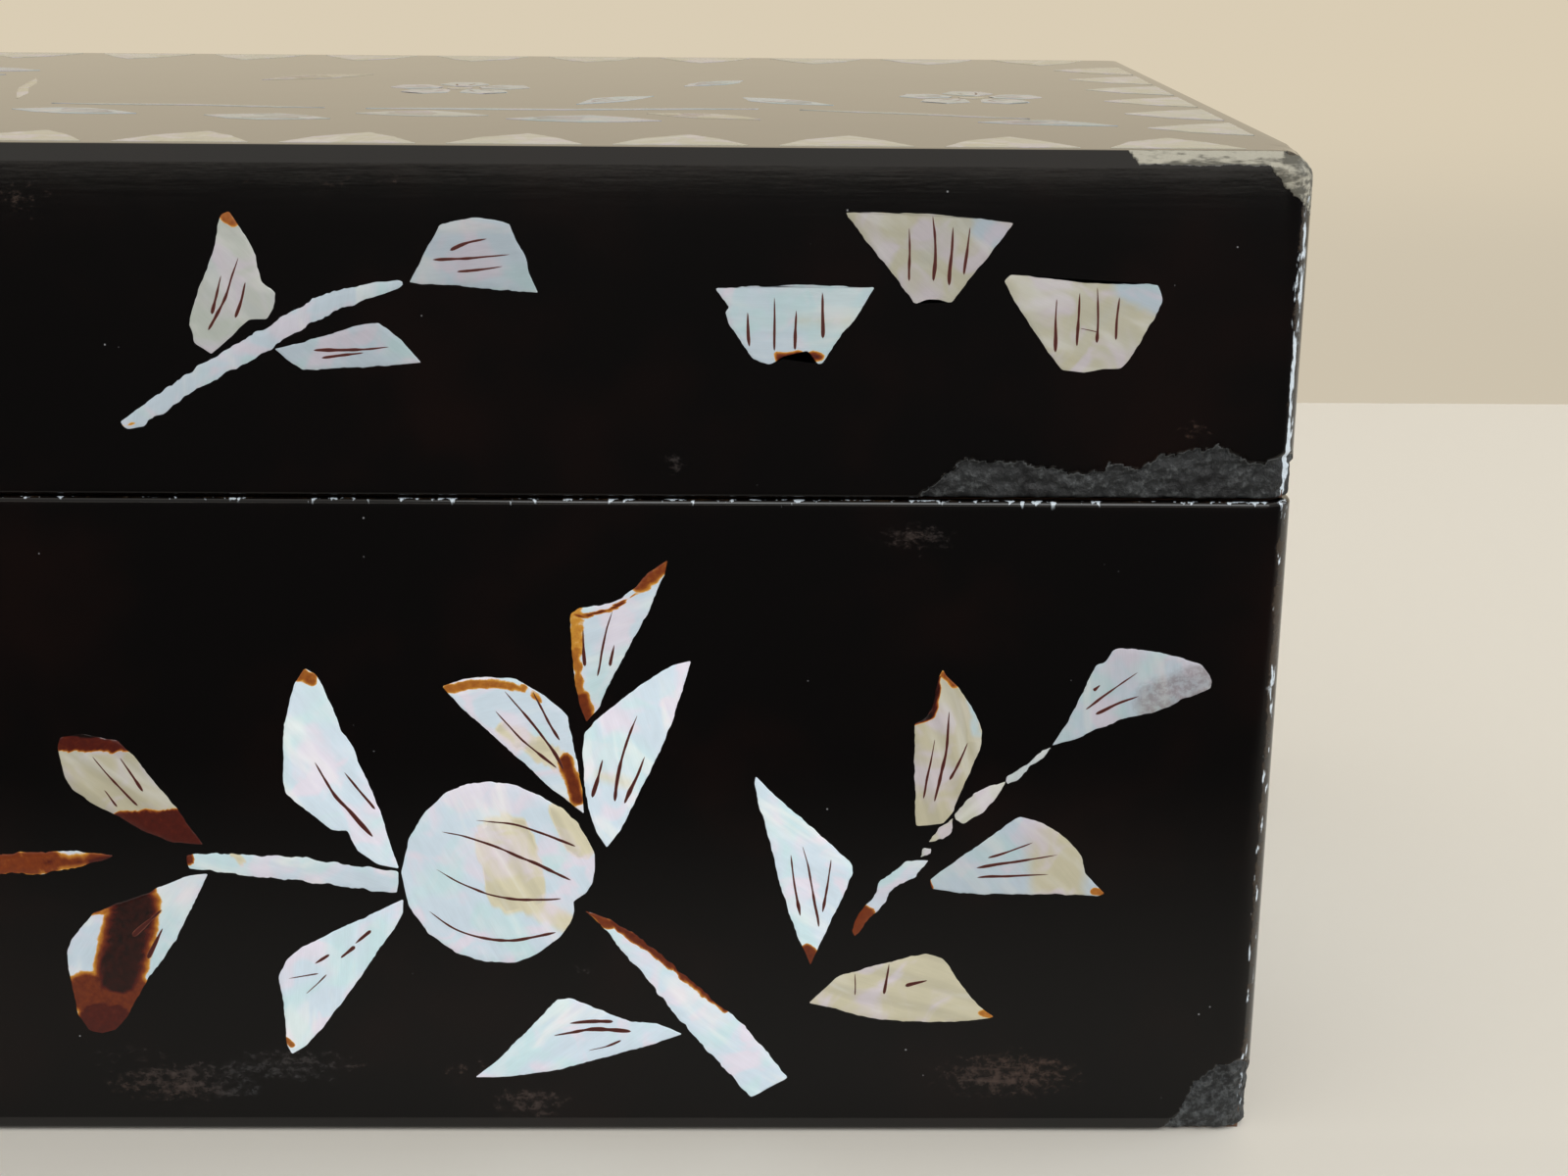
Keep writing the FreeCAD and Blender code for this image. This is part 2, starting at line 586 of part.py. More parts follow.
def edges_of(outline, stretch):
    """Lines and arcs of an outline, stretched with its drawing; a disc moves but stays round."""
    if not isinstance(outline, Disc):
        spots = [Vector(across * stretch[0], up * stretch[1], 0) for across, up in outline]
        return [Part.LineSegment(spots[index - 1], spots[index]) for index in range(len(spots))]
    scale = min(stretch)
    middle = Vector(outline.middle[0] * stretch[0], outline.middle[1] * stretch[1], 0)
    circle = Part.Circle(middle, Vector(0, 0, 1), outline.radius * scale)
    arc = Part.ArcOfCircle(circle, math.radians(outline.start), math.radians(outline.end))
    notch = middle + Vector(*outline.notch, 0) * scale
    return [arc, Part.LineSegment(arc.EndPoint, notch), Part.LineSegment(notch, arc.StartPoint)]


def inlay(label, face, outlines, stretch=(1, 1)):
    """Flat shell pieces let into a face, flush with it."""
    sketch = doc.addObject("Sketcher::SketchObject", "Drawing")
    outward = face.across.cross(face.up)
    sketch.Placement.Rotation = Rotation(face.across, face.up, outward, "ZXY")
    bind(sketch, Placement__Base__x=face.middle[0], Placement__Base__y=face.middle[1],
         Placement__Base__z=face.middle[2])
    for outline in outlines:
        sketch.addGeometry(edges_of(outline, stretch), False)
    plates = keep(doc.addObject("Part::Extrusion", "Shell"), label)
    plates.Base = sketch
    plates.DirMode = "Normal"
    plates.Solid = True
    plates.Reversed = True
    bind(plates, LengthFwd="Sizes.shell")
    doc.recompute()
    if len(plates.Shape.Solids) != len(outlines):
        raise RuntimeError(f"{label}: pieces run into each other")
    return plates


def ornament(face, **groups):
    """Shell of one face, fitted to its room: a node for each group, all stretched alike."""
    reach = reach_of([outline for outlines in groups.values() for outline in outlines])
    stretch = [value(room) / far for room, far in zip(face.room, reach)]
    return [inlay(label, face, outlines, stretch) for label, outlines in groups.items()]


def base_inlays():
    spray = [moved(outline, -SPRAY_MIDDLE) for outline in END_SPRAY]
    back = [moved(outline, BACK_SHIFT) for outline in BACK_SPRAY]
    return [
        *ornament(BASE_FRONT, base_front_leaves=both_halves(BASE_LEAVES),
                  base_front_stems=[*both_halves(BASE_STEMS), BASE_LINK],
                  base_front_fruits=both_halves([FRUIT])),
        *ornament(BASE_RIGHT, base_right_spray=spray),
        *ornament(BASE_LEFT, base_left_spray=spray),
        *ornament(BASE_BACK, base_back_sprays=both_halves(back)),
    ]


def lid_inlays():
    petals = both_sides(LID_PETALS)
    cluster = [moved(petal, -CLUSTER_MIDDLE) for petal in LID_PETALS]
    top_leaves = [leaf_corners(leaf) for leaf in TOP_LEAVES]
    blossoms = []
    for across, up in BLOSSOMS:
        blossoms += blossom((across, up)) + blossom((-across, -up))
    return [
        *ornament(LID_FRONT, lid_front_leaves=both_sides(LID_LEAVES),
                  lid_front_stems=both_sides([LID_STEM]), lid_front_petals=petals),
        *ornament(LID_RIGHT, lid_right_petals=cluster),
        *ornament(LID_LEFT, lid_left_petals=cluster),
        *ornament(LID_BACK, lid_back_petals=petals),
        inlay("lid_top_border", LID_FACE, border()),
        *ornament(LID_FACE, lid_top_leaves=both_halves(top_leaves),
                  lid_top_stems=[*both_halves(TOP_STEMS), TOP_LINK], lid_top_blossoms=blossoms),
    ]


# ---------------------------------------------------------------- lacquer coats

def add_rounded_outline(sketch):
    """Outside of the box seen from above, with rounded corners."""
    half_x, half_y = value("Sizes.width / 2"), value("Sizes.depth / 2")
    radius = value("Sizes.corner_radius")
    middles = ((half_x, half_y, 0), (-half_x, half_y, 90), (-half_x, -half_y, 180),
               (half_x, -half_y, 270))
    first = sketch.GeometryCount
    for across, up, start in middles:
        centre = Vector(math.copysign(abs(across) - radius, across),
                        math.copysign(abs(up) - radius, up), 0)
        circle = Part.Circle(centre, Vector(0, 0, 1), radius)
        arc = Part.ArcOfCircle(circle, math.radians(start), math.radians(start + 90))
        sketch.addGeometry(arc, False)
    for index in range(4):
        this, following = first + index, first + (index + 1) % 4
        start, end = sketch.getPoint(this, 2), sketch.getPoint(following, 1)
        line = sketch.addGeometry(Part.LineSegment(start, end), False)
        sketch.addConstraint(Sketcher.Constraint("Tangent", this, 2, line, 1))
        sketch.addConstraint(Sketcher.Constraint("Tangent", line, 2, following, 1))
        sketch.addConstraint(Sketcher.Constraint("Vertical" if index % 2 else "Horizontal", line))
        if index:
            sketch.addConstraint(Sketcher.Constraint("Equal", first, this))
    held = (
        ("Radius", (first,), "Sizes.corner_radius"),
        ("DistanceX", (-1, 1, first, 1), "Sizes.width / 2"),
        ("DistanceY", (-1, 1, first, 2), "Sizes.depth / 2"),
        ("DistanceX", (-1, 1, first + 2, 1), "-Sizes.width / 2"),
        ("DistanceY", (-1, 1, first + 2, 2), "-Sizes.depth / 2"),
    )
    for kind, places, expression in held:
        size = Sketcher.Constraint(kind, *places, value(expression))
        number = sketch.addConstraint(size)
        sketch.setExpression(f"Constraints[{number}]", expression)


def cut_back_bevel(body):
    """Groove along the back in which the knuckles lie; its faces stop the open lid."""
    reach = "(2 * Sizes.hinge_inset)"
    groove = (
        (AXIS_Y, AXIS_Z),
        (f"{AXIS_Y} + {reach}", f"{AXIS_Z} - {reach} * {BEVEL_SLOPE}"),
        (f"{AXIS_Y} + {reach}", f"{AXIS_Z} + {reach} * {BEVEL_SLOPE}"),
    )
    sketch = outline_sketch(body, "YZ_Plane", groove)
    pocket(body, sketch, "2 * Sizes.width", side="Symmetric")
    for hinge in (-1, 1):
        cut_knuckle_hollow(body, f"({hinge} * {HINGE_X})")


def is_outer(spot):
    """True outside the wooden carcass."""
    return abs(spot.x) > value(OUT_X) + NEAR or abs(spot.y) > value(OUT_Y) + NEAR


def coat_of_base(shells):
    """Lacquer round the four walls of the base, with a pocket for every shell piece."""
    body = doc.addObject("PartDesign::Body", "BaseCoat")
    sketch = new_sketch(body, "XY_Plane", "Sizes.foot_gap")
    add_rounded_outline(sketch)
    add_outline(sketch, rectangle(f"-{OUT_X}", OUT_X, f"-{OUT_Y}", OUT_Y))
    pad(body, sketch, "Sizes.seam_height - Sizes.foot_gap")
    rims = (value("Sizes.foot_gap"), value("Sizes.seam_height"))
    chamfer(body, "Sizes.arris",
            lambda spot: is_outer(spot) and any(abs(spot.z - rim) < NEAR for rim in rims))
    cut_back_bevel(body)
    cut_pockets(body, shells, "base_lacquer_coat")


def coat_of_lid(shells):
    """Lacquer over the lid: a cap, bevelled round its top, with pockets for the shell."""
    body = doc.addObject("PartDesign::Body", "LidCoat")
    sketch = new_sketch(body, "XY_Plane", LID_BOTTOM)
    add_rounded_outline(sketch)
    pad(body, sketch, f"Sizes.height - {LID_BOTTOM}")
    inside = rectangle(f"-{OUT_X}", OUT_X, f"-{OUT_Y}", OUT_Y)
    hollow = outline_sketch(body, "XY_Plane", inside, lift=LID_BOTTOM)
    pocket(body, hollow, f"{LID_TOP} - {LID_BOTTOM}", reverse=True)
    rim, top = value(LID_BOTTOM), value("Sizes.height")
    chamfer(body, "Sizes.top_bevel", lambda spot: abs(spot.z - top) < NEAR)
    chamfer(body, "Sizes.arris", lambda spot: is_outer(spot) and abs(spot.z - rim) < NEAR)
    cut_back_bevel(body)
    cut_pockets(body, shells, "lid_lacquer_coat")


def cut_pockets(body, shells, label):
    tool = doc.addObject("Part::Compound", "AllShell")
    tool.Links = shells
    coat = keep(doc.addObject("Part::Cut", "Coat"), label)
    coat.Base = body
    coat.Tool = tool
    doc.recompute()


# ---------------------------------------------------------------- build and write

carcass()
hinges()
coat_of_base(base_inlays())
coat_of_lid(lid_inlays())
doc.recompute()

for thing in doc.Objects:
    if "Invalid" in thing.State or "Error" in thing.State:
        raise RuntimeError(f"{thing.Name} ({thing.Label}) failed: {thing.State}")
for node in nodes:
    if node.Shape.isNull() or not node.Shape.isValid():
        raise RuntimeError(f"{node.Label} has no valid shape")

os.makedirs("parts", exist_ok=True)
for node in nodes:
    node.Shape.exportStep(f"parts/{node.Label}.step")
print(f"{len(nodes)} sub-parts written")
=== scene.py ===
"""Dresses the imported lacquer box: lacquer coats, shell inlay, engraving, worn edges and hinges.

Lengths in this file are in millimetres unless a name says otherwise; meshes are in metres.
"""

import math
from collections import namedtuple

import bmesh
import bpy
import numpy as np
from mathutils import Matrix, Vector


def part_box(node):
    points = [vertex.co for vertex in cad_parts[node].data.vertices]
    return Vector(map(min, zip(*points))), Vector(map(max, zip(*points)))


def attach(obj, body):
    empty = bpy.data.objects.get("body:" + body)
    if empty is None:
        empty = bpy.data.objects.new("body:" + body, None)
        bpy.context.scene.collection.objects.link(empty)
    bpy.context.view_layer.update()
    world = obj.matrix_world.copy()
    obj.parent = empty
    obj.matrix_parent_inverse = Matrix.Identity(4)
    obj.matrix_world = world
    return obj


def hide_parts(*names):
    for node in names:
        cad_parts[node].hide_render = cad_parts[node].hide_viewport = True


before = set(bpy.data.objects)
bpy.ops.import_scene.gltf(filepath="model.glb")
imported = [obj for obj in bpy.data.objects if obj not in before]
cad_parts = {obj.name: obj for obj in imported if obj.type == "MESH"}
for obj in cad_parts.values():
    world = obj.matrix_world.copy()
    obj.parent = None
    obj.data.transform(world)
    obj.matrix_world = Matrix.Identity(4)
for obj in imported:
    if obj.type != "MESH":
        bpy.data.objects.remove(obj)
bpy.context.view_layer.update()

bl_info = {
    "name": "Shell Inlay Box",
    "version": (1, 0, 0),
    "blender": (4, 5, 0),
    "location": "3D View > Sidebar > Inlay Box",
    "description": "Lacquer coats, shell inlay, engraving and hinges for a hinged wooden box",
    "category": "Object",
}

MM = 0.001
(_, _, BASE_FOOT), (HALF_WIDTH, HALF_DEPTH, BASE_RIM) = np.array(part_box("base_lacquer_coat")) / MM
(_, _, LID_RIM), (_, _, LID_TOP) = np.array(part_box("lid_lacquer_coat")) / MM
PIN_SPOT = np.mean(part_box("hinge_pin_right"), axis=0) / MM

# ---------------------------------------------------------------- drawing of the shell pieces
# A piece runs from its root to its tip, with the corners of its right and left edges between
# them as seen looking that way, and lines cut into its face, each from its thin end.
# The base's drawing starts at the table, the lid's at the lid's lower edge, and both at
# the middle of the face.
Piece = namedtuple("Piece", "name root tip right left cuts", defaults=((), (), ()))

LEAVES = (
    Piece("middle_leaf_upper", (29.2, 31.7), (18.1, 43.3),
         right=((26.9, 35.4), (22.9, 41.2), (21.5, 42.6)),
         left=((26.3, 31.9), (23.4, 33.1), (21.2, 34.6), (19.1, 35.7), (16.8, 37.5),
               (16.2, 38.8), (15.9, 40.5), (15.7, 41.9), (16.1, 42.9)),
         cuts=(((19, 40.9), (21.1, 38), (23.1, 35.8)), ((21.7, 40.8), (22.8, 39.1), (23.7, 37.3)),
               ((19.9, 37.4), (21.1, 35.7)))),
    Piece("middle_leaf_lower", (29.5, 28.6), (17.8, 11.1),
         right=((27.6, 28.4), (24.6, 27.1), (22.7, 26.2), (20.2, 25.3), (18, 24.4), (16.8, 23),
                (15.5, 21.5), (15, 20.3), (14.9, 18.2), (15.2, 15.9), (15.5, 13.2), (16.5, 11.4)),
         left=((28.6, 26.8), (27.4, 24.5), (25.9, 21.5), (24.4, 19.2), (22.9, 17.4), (21.6, 15),
               (20.4, 12.9), (19.2, 11.5)),
         cuts=(((24.6, 22.7), (23.8, 21.2), (22.9, 19.4)),
               ((24.7, 24.7), (23, 23.3), (21.6, 21.8)))),
    Piece("tall_leaf_upper", (48.4, 29.2), (40.1, 50.1),
         right=((47.5, 32.3), (47, 34.6), (45.9, 37.8), (45, 40), (44.4, 42), (43.3, 43.8),
                (42.8, 45.6), (41.8, 48.2), (41.1, 49.5)),
         left=((46.4, 29.6), (44.6, 30.9), (43.8, 32.3), (43.5, 33.2), (42, 33.3), (39.7, 35.2),
               (37.7, 37), (37.4, 38.3), (37.6, 41.1), (37.8, 43.9), (38.5, 46.7), (39.1, 48.6)),
         cuts=(((40.6, 40.4), (42.4, 36.9), (46, 32.6)),
               ((43.5, 39.4), (44.8, 37.5), (46.3, 35.5)))),
    Piece("tall_leaf_lower", (48.7, 25.9), (36.8, 8.8),
         right=((47.3, 25.2), (44.8, 23.9), (41.5, 22.3), (38.5, 20.7), (36.8, 19.3),
                (35.9, 17.4), (36.2, 15.3), (36.3, 12.9), (36.3, 9.9)),
         left=((48.6, 24.4), (47.4, 22.3), (46, 20.4), (44.5, 18), (42.8, 15.6), (40.2, 12),
               (38.2, 9.7)),
         cuts=(((42.2, 19.5), (43, 20.1), (43.7, 20.8)),
               ((43.7, 21.1), (44.4, 21.7), (45.4, 22.5)),
               ((39.6, 18.9), (40.3, 19.3), (41.1, 19.9)),
               ((38.6, 15.5), (39.6, 16.5), (40.7, 17.7)),
               ((36.9, 17.2), (38.3, 17.5), (39.9, 17.8)))),
    Piece("leaning_leaf", (66.8, 35.1), (53.3, 48.3),
         right=((66.7, 37.4), (66.3, 40.1), (65.8, 42.7), (65.4, 45.3), (64.6, 46.1),
                (62.8, 47.6), (60.4, 49.1), (57.7, 49.3), (55.5, 49.1)),
         left=((63.4, 38), (59.9, 41.5), (57.3, 44.1), (55.1, 46.1)),
         cuts=(((59.3, 47.8), (61.4, 45.3), (63.5, 42.4), (64.9, 39.8)),
               ((58.4, 45.8), (60.2, 43.5), (62.4, 41.5), (64.2, 39.9)),
               ((62.1, 47.8), (63, 45.6), (64.6, 42.8)))),
    Piece("crest_leaf", (67.2, 44.7), (75.2, 61.1),
         right=((68.4, 46.1), (69.3, 48.2), (70.4, 50.4), (71.7, 53), (73.1, 55.5), (74.2, 58.1),
                (74.9, 59.7)),
         left=((66.6, 46.4), (66.2, 48.7), (65.9, 51.6), (65.8, 54.1), (65.9, 55.7),
               (66.7, 56.3), (68.6, 56.5), (70.7, 57.2), (72.3, 58.6), (73.4, 59.9)),
         cuts=(((69.8, 56), (69.2, 53.8), (68.8, 51.7), (68.3, 49.4)),
               ((70, 52.6), (69.8, 51.6), (69.6, 50.4)), ((67.1, 54.1), (67, 52.4), (67.1, 50.4)))),
    Piece("upright_leaf", (69, 31.5), (77.4, 51),
         right=((70.4, 33.3), (71.8, 36.3), (73.2, 39.2), (74.4, 41.8), (75.5, 44.7), (76.6, 48.2)),
         left=((68.1, 33), (67.2, 35.7), (66.9, 38.6), (66.8, 41.5), (67, 43.4), (67.9, 44.7),
               (69.5, 46), (71.1, 47.3), (73.1, 48.9), (75.5, 50.5)),
         cuts=(((72.1, 45.4), (71.1, 42.7), (70.2, 39.5), (69.9, 36.4)),
               ((68.7, 40.8), (68.2, 38.9), (67.7, 36.8)),
               ((72.9, 41.1), (71.9, 38.6), (70.8, 36.2)))),
    Piece("ground_leaf", (55.3, 6.2), (76.4, 11.1),
         right=((59, 6.3), (63.9, 7.1), (68.5, 8.5), (72.4, 9.6)),
         left=((57.4, 7.9), (59.7, 10.4), (62, 12.9), (63.8, 14.9), (65.2, 15.1), (68, 13.8),
               (71.1, 12.5), (73.9, 12.3)),
         cuts=(((65, 12.3), (67.1, 12.6), (69.4, 12.5)),
               ((63.4, 10.9), (66.2, 11.6), (68.5, 11.7), (71.2, 11.4)),
               ((66.9, 9.2), (68.5, 9.6), (70.2, 10.4)))),
    Piece("hanging_leaf", (83.7, 39.1), (89.3, 18.8),
         right=((83.6, 38.3), (84.1, 35.9), (84.7, 33.9), (85.2, 31.8), (85.8, 29.1),
                (86.5, 26.7), (87.3, 23.9), (88.1, 21.8), (88.7, 20.4)),
         left=((85.1, 37.6), (88, 34.9), (90.9, 32.2), (93.2, 29.9), (93.4, 28.8), (92.6, 26.7),
               (91.6, 24.3), (90.7, 22.2), (90.1, 20.8)),
         cuts=(((87.2, 30.8), (87.5, 27.7), (88.2, 24.2)),
               ((88.4, 31.7), (89.3, 28.1), (90.1, 23)), ((91.2, 30.3), (91, 27.7), (90.5, 24.6)))),
    Piece("bud", (100.9, 34), (101.8, 50.2),
         right=((102.3, 34.2), (103.2, 35.3), (103.8, 37.3), (104.9, 40), (105.7, 42),
                (105.8, 44), (105.4, 45), (104.4, 46.9), (103.4, 48.3), (102.1, 49.6)),
         left=((99.6, 33.9), (99.5, 35.3), (99.4, 38), (99.2, 41.4), (99.2, 44.7), (99.9, 45),
               (100.4, 45.4), (100.8, 46.3), (101.1, 47.5), (101.3, 48.7), (101.5, 49.6)),
         cuts=(((102.5, 45.9), (102.4, 41.4), (101.3, 36.5)),
               ((101.2, 43), (100.8, 40), (100.2, 36.8)),
               ((104.4, 42.7), (103.7, 40.5), (102.7, 38.8)))),
    Piece("corner_leaf", (112.7, 42.4), (128, 49.1),
         right=((114.9, 43.1), (117, 44.1), (119.8, 45.3), (122.3, 45.8), (123.7, 46.4),
                (125.3, 47.3), (126.9, 47.9), (127.9, 48.4)),
         left=((113.9, 44.4), (115, 46.7), (115.9, 49), (116.7, 50.7), (117.5, 51),
               (118.2, 52.2), (119, 52.5), (120.4, 52.3), (122.9, 52), (125.1, 51.4),
               (126.8, 50.9), (127.7, 49.8)),
         cuts=(((120.7, 50), (118.4, 48.2), (115.8, 46.2)),
               ((120.9, 47.6), (118.8, 46.7), (116.8, 45.7)),
               ((117.1, 48.7), (116.8, 48.4), (116.5, 48.1)))),
    Piece("side_leaf", (101.1, 28.1), (118.6, 26.7),
         right=((101.3, 27.2), (104.1, 26.7), (107.3, 26.6), (110.5, 26.6), (113.7, 26.6),
                (116.2, 26.5), (117.9, 26.4)),
         left=((102.1, 29), (104.6, 30.9), (107.1, 32.8), (108.6, 34.1), (109.8, 34.9),
               (111.5, 34.5), (113.7, 33.3), (115.4, 31.6), (116.1, 30.7), (116.3, 29.7),
               (116.6, 28.8), (117.5, 27.8)),
         cuts=(((113.7, 30.8), (110, 30.2), (105.7, 29.4)),
               ((111.2, 32.2), (108.7, 31), (106.8, 30.5)),
               ((112.9, 28.8), (109.1, 28.6), (105.8, 28.4)))),
    Piece("cracked_leaf", (89.2, 14.6), (108, 13.1),
         right=((91.5, 14.1), (94.1, 13.3), (96.4, 12.8), (99.6, 12.5), (102.9, 12.5),
                (105.8, 12.7), (107.4, 12.9)),
         left=((90.8, 16.2), (92.4, 17.8), (94, 18.1), (95.9, 18.8), (97.2, 19.1), (99.1, 19.7),
               (101, 20.1), (102.7, 19.5), (103.3, 18.7), (104.4, 16.9), (105.7, 15.1),
               (107.1, 13.7)),
         cuts=(((97.2, 19), (97.1, 17.2), (96.8, 15.6)),
               ((101.1, 17.2), (100, 16.9), (98.9, 16.5)),
               ((93.8, 17.9), (94, 16.5), (93.8, 15.5)))),
)

STEMS = (
    Piece("first_stem", (3, 29.4), (20.3, 30.5),
         right=((3, 28.5), (9.5, 28.5), (13, 28.6), (17, 29.4), (19.8, 30.2)),
         left=((3, 30.3), (9.1, 30.6), (15.8, 31), (19.3, 30.7))),
    Piece("middle_stem", (27.5, 29.8), (48.3, 27.7),
         right=((27.7, 29.1), (29.3, 29), (33, 28.4), (39.1, 27.8), (43.6, 27.1), (48.1, 26.6)),
         left=((27.5, 30.6), (29.1, 30.7), (33.1, 30.6), (39.2, 30.3), (43.7, 29.5), (48.3, 28.9))),
    Piece("long_stem", (66.7, 24.7), (85.2, 5.1),
         right=((67.5, 24), (69.2, 22), (71.4, 19.1), (74.2, 15.4), (77, 11.7), (80.4, 7.6),
                (83.4, 3.9)),
         left=((68.7, 24), (71.4, 22.5), (73.9, 20.3), (77, 17.3), (79.8, 14.6), (82.1, 12.6),
               (84.6, 9.5), (87.1, 6.2))),
    Piece("rising_stem_1", (93.7, 22), (100.9, 30.2),
         right=((94.1, 22.3), (95.5, 24.3), (96.7, 25.7), (97, 26.7), (98, 27.7), (99.6, 28.4)),
         left=((93.4, 22.5), (93.6, 23.2), (94.5, 25), (95.8, 26.7), (95.9, 27.7), (97.6, 29.1),
               (98.6, 30.2))),
    Piece("rising_stem_2", (100.1, 30.6), (101.1, 31.5),
         right=((101.2, 30.8),),
         left=((100.3, 31.4),)),
    Piece("rising_stem_3", (100.9, 32.2), (103.2, 34.7),
         right=((102, 32.4), (103.2, 33.3)),
         left=((102, 33.9),)),
    Piece("rising_stem_4", (103.5, 34.6), (108.3, 38.6),
         right=((104.2, 34.2), (106, 35.3), (107.6, 37)),
         left=((103.3, 35.1), (104.4, 36.5), (106.3, 38))),
    Piece("rising_stem_5", (108.3, 38.7), (112.6, 42.2),
         right=((108.5, 38.3), (109.4, 38.7), (110.6, 40.1), (111.8, 41.1)),
         left=((108.4, 39.2), (109.4, 39.7), (110.9, 41.1), (112.3, 42.1))),
)

FRUIT = (
    Piece("fruit", (48.6, 28.8), (67.8, 30.9),
         right=((49.2, 25.2), (51.1, 22.1), (53.8, 20.1), (56.6, 19.1), (59.6, 19), (61.9, 20),
                (64.2, 21.8), (65.3, 23.4), (65.7, 24.6), (65.6, 25.7), (66.8, 26.6),
                (67.5, 27.6), (67.8, 29.1)),
         left=((49.5, 32.3), (51, 35), (53.2, 37.2), (55.5, 38.2), (57.6, 38.4), (60.1, 38.1),
               (62.5, 37), (64.7, 35.7), (66.1, 34.2), (67.1, 32.4)),
         cuts=(((56.2, 34.3), (59.5, 34.2), (62.7, 33.1), (65.9, 31.6)),
               ((52.8, 33.2), (56.9, 32.1), (60.7, 30.4), (65.4, 28)),
               ((52.1, 29.1), (55.4, 27), (59.8, 25.8), (64.4, 26)),
               ((51.2, 24.6), (53.9, 22.3), (58.6, 21.2), (63.8, 22.4)))),
)

LID_LEAVES = (
    Piece("lid_leaf_upper", (33, 13.5), (35.4, 26.7),
         right=((34.6, 14.8), (36.7, 16.8), (38.3, 16.8), (39, 17.9), (39.3, 19.3), (38.1, 20.2),
                (37.8, 21.3), (37.6, 22.7), (37.1, 23.8), (36.2, 25.4)),
         left=((31.5, 14.5), (31.2, 16.2), (31.4, 17.2), (31.8, 18.5), (32.6, 20.4),
               (33.4, 22.1), (34, 23.8), (34.3, 25.4), (34.7, 26.4)),
         cuts=(((34.4, 20.8), (33.8, 19), (33.3, 17.2)), ((36, 22.5), (34.7, 18.8), (32.9, 15.7)),
               ((36.6, 20.2), (36.1, 18.5), (35.4, 16.9)))),
    Piece("lid_leaf_end", (51.6, 20.3), (63.4, 19.4),
         right=((52.9, 20.1), (56.2, 20), (60.4, 19.6)),
         left=((53, 22.8), (54.5, 25.5), (55.9, 26), (57.5, 26.3), (59.4, 26.1), (60.9, 25.7),
               (61.5, 24.2), (62.3, 22.8), (62.6, 21.2)),
         cuts=(((58.8, 24.4), (57, 24.1), (55.4, 23.3)),
               ((60.9, 22.9), (57.4, 22.6), (53.8, 22.4)),
               ((60.2, 21.8), (58.2, 21.4), (56, 21.3)))),
    Piece("lid_leaf_lower", (38.9, 14), (52.4, 12.8),
         right=((40.4, 12.7), (41.4, 12), (44.8, 12.2), (49, 12.5)),
         left=((42.1, 14.8), (44.7, 15.6), (46.7, 16.3), (48.6, 16.5), (50, 15.5), (51.3, 14.1)),
         cuts=(((49.5, 14.2), (46, 13.9), (42.5, 13.9)),
               ((47.1, 13.7), (45.1, 13.4), (43.2, 13.2)))),
)

LID_STEM = (
    Piece("lid_stem", (24.4, 6.6), (51.1, 20.2),
         right=((24.7, 6.3), (26.3, 6.6), (26.9, 7.2), (28.6, 8.1), (30.4, 9.4), (31.8, 10.3),
                (33.6, 11.4), (35, 12.1), (36.5, 12.9), (38.8, 14.1), (39.9, 14.9), (41.3, 15.8),
                (43.3, 16.8), (44.8, 17.7), (47.3, 18.6), (49.6, 19.3), (50.7, 19.8)),
         left=((24.1, 7), (27.9, 9.7), (31.7, 12.3), (35.1, 14.3), (38.3, 16.1), (40.6, 17.5),
               (43.2, 19), (45.1, 19.5), (47.9, 20.2), (50.7, 20.5))),
)

PETALS = (
    Piece("petal_left", (86.1, 13.6), (87.3, 20.3),
         right=((88.4, 14.2), (89.5, 12.8), (90.1, 13.5), (91.3, 15.5), (92.8, 17.2),
                (93.8, 18.9), (94.5, 20.1)),
         left=((84.8, 12.8), (84.2, 13), (83.1, 13.4), (82, 15.1), (81.1, 16.5), (80.7, 17.7),
               (81, 18.2), (80.2, 19.2), (79.8, 19.9)),
         cuts=(((82.8, 17.7), (82.8, 16.1), (82.9, 14.5)),
               ((85.2, 19.1), (85.2, 16.4), (85.2, 14.1)),
               ((87.2, 17.9), (87.2, 16.1), (87.1, 14.2)),
               ((89.6, 19.6), (89.8, 17.3), (89.7, 15.3)))),
    Piece("petal_middle", (99.9, 19), (99.3, 26.9),
         right=((100.6, 19), (101.6, 18.7), (102.7, 20.3), (104.1, 22.1), (105.3, 23.6),
                (106.3, 25), (107.1, 26.1)),
         left=((99.2, 19), (98.2, 18.6), (96.9, 20.3), (95.7, 21.9), (94.2, 23.7), (92.9, 25.3),
               (91.6, 27)),
         cuts=(((97.5, 25.6), (97.6, 23.1), (97.6, 20.7)),
               ((99.7, 26.7), (100, 23.7), (99.9, 20.7)),
               ((101.6, 25.7), (101.5, 22.8), (101.3, 20.3)),
               ((103.1, 25.7), (102.9, 23.5), (102.7, 21.3)))),
    Piece("petal_right", (114.2, 12.2), (113.9, 20.6),
         right=((115.7, 12.5), (117.6, 12.6), (118.4, 13.5), (119.4, 15.4), (120.4, 17.2),
                (121.2, 19), (120.7, 20.5)),
         left=((112.1, 12.4), (110.8, 14.1), (109.5, 15.9), (107.9, 18.2), (106.4, 20.7),
               (107, 21.4)),
         cuts=(((111.3, 19.1), (111.4, 16.5), (111.4, 14.1)),
               ((113.5, 19.7), (113.5, 17.2), (113.4, 14.7)),
               ((115, 20.2), (115.3, 17.5), (115.2, 15)),
               ((117.2, 19.3), (117, 17.2), (117, 15.3)),
               ((113.6, 16.4), (114.5, 16.3), (115.3, 16.1)))),
)

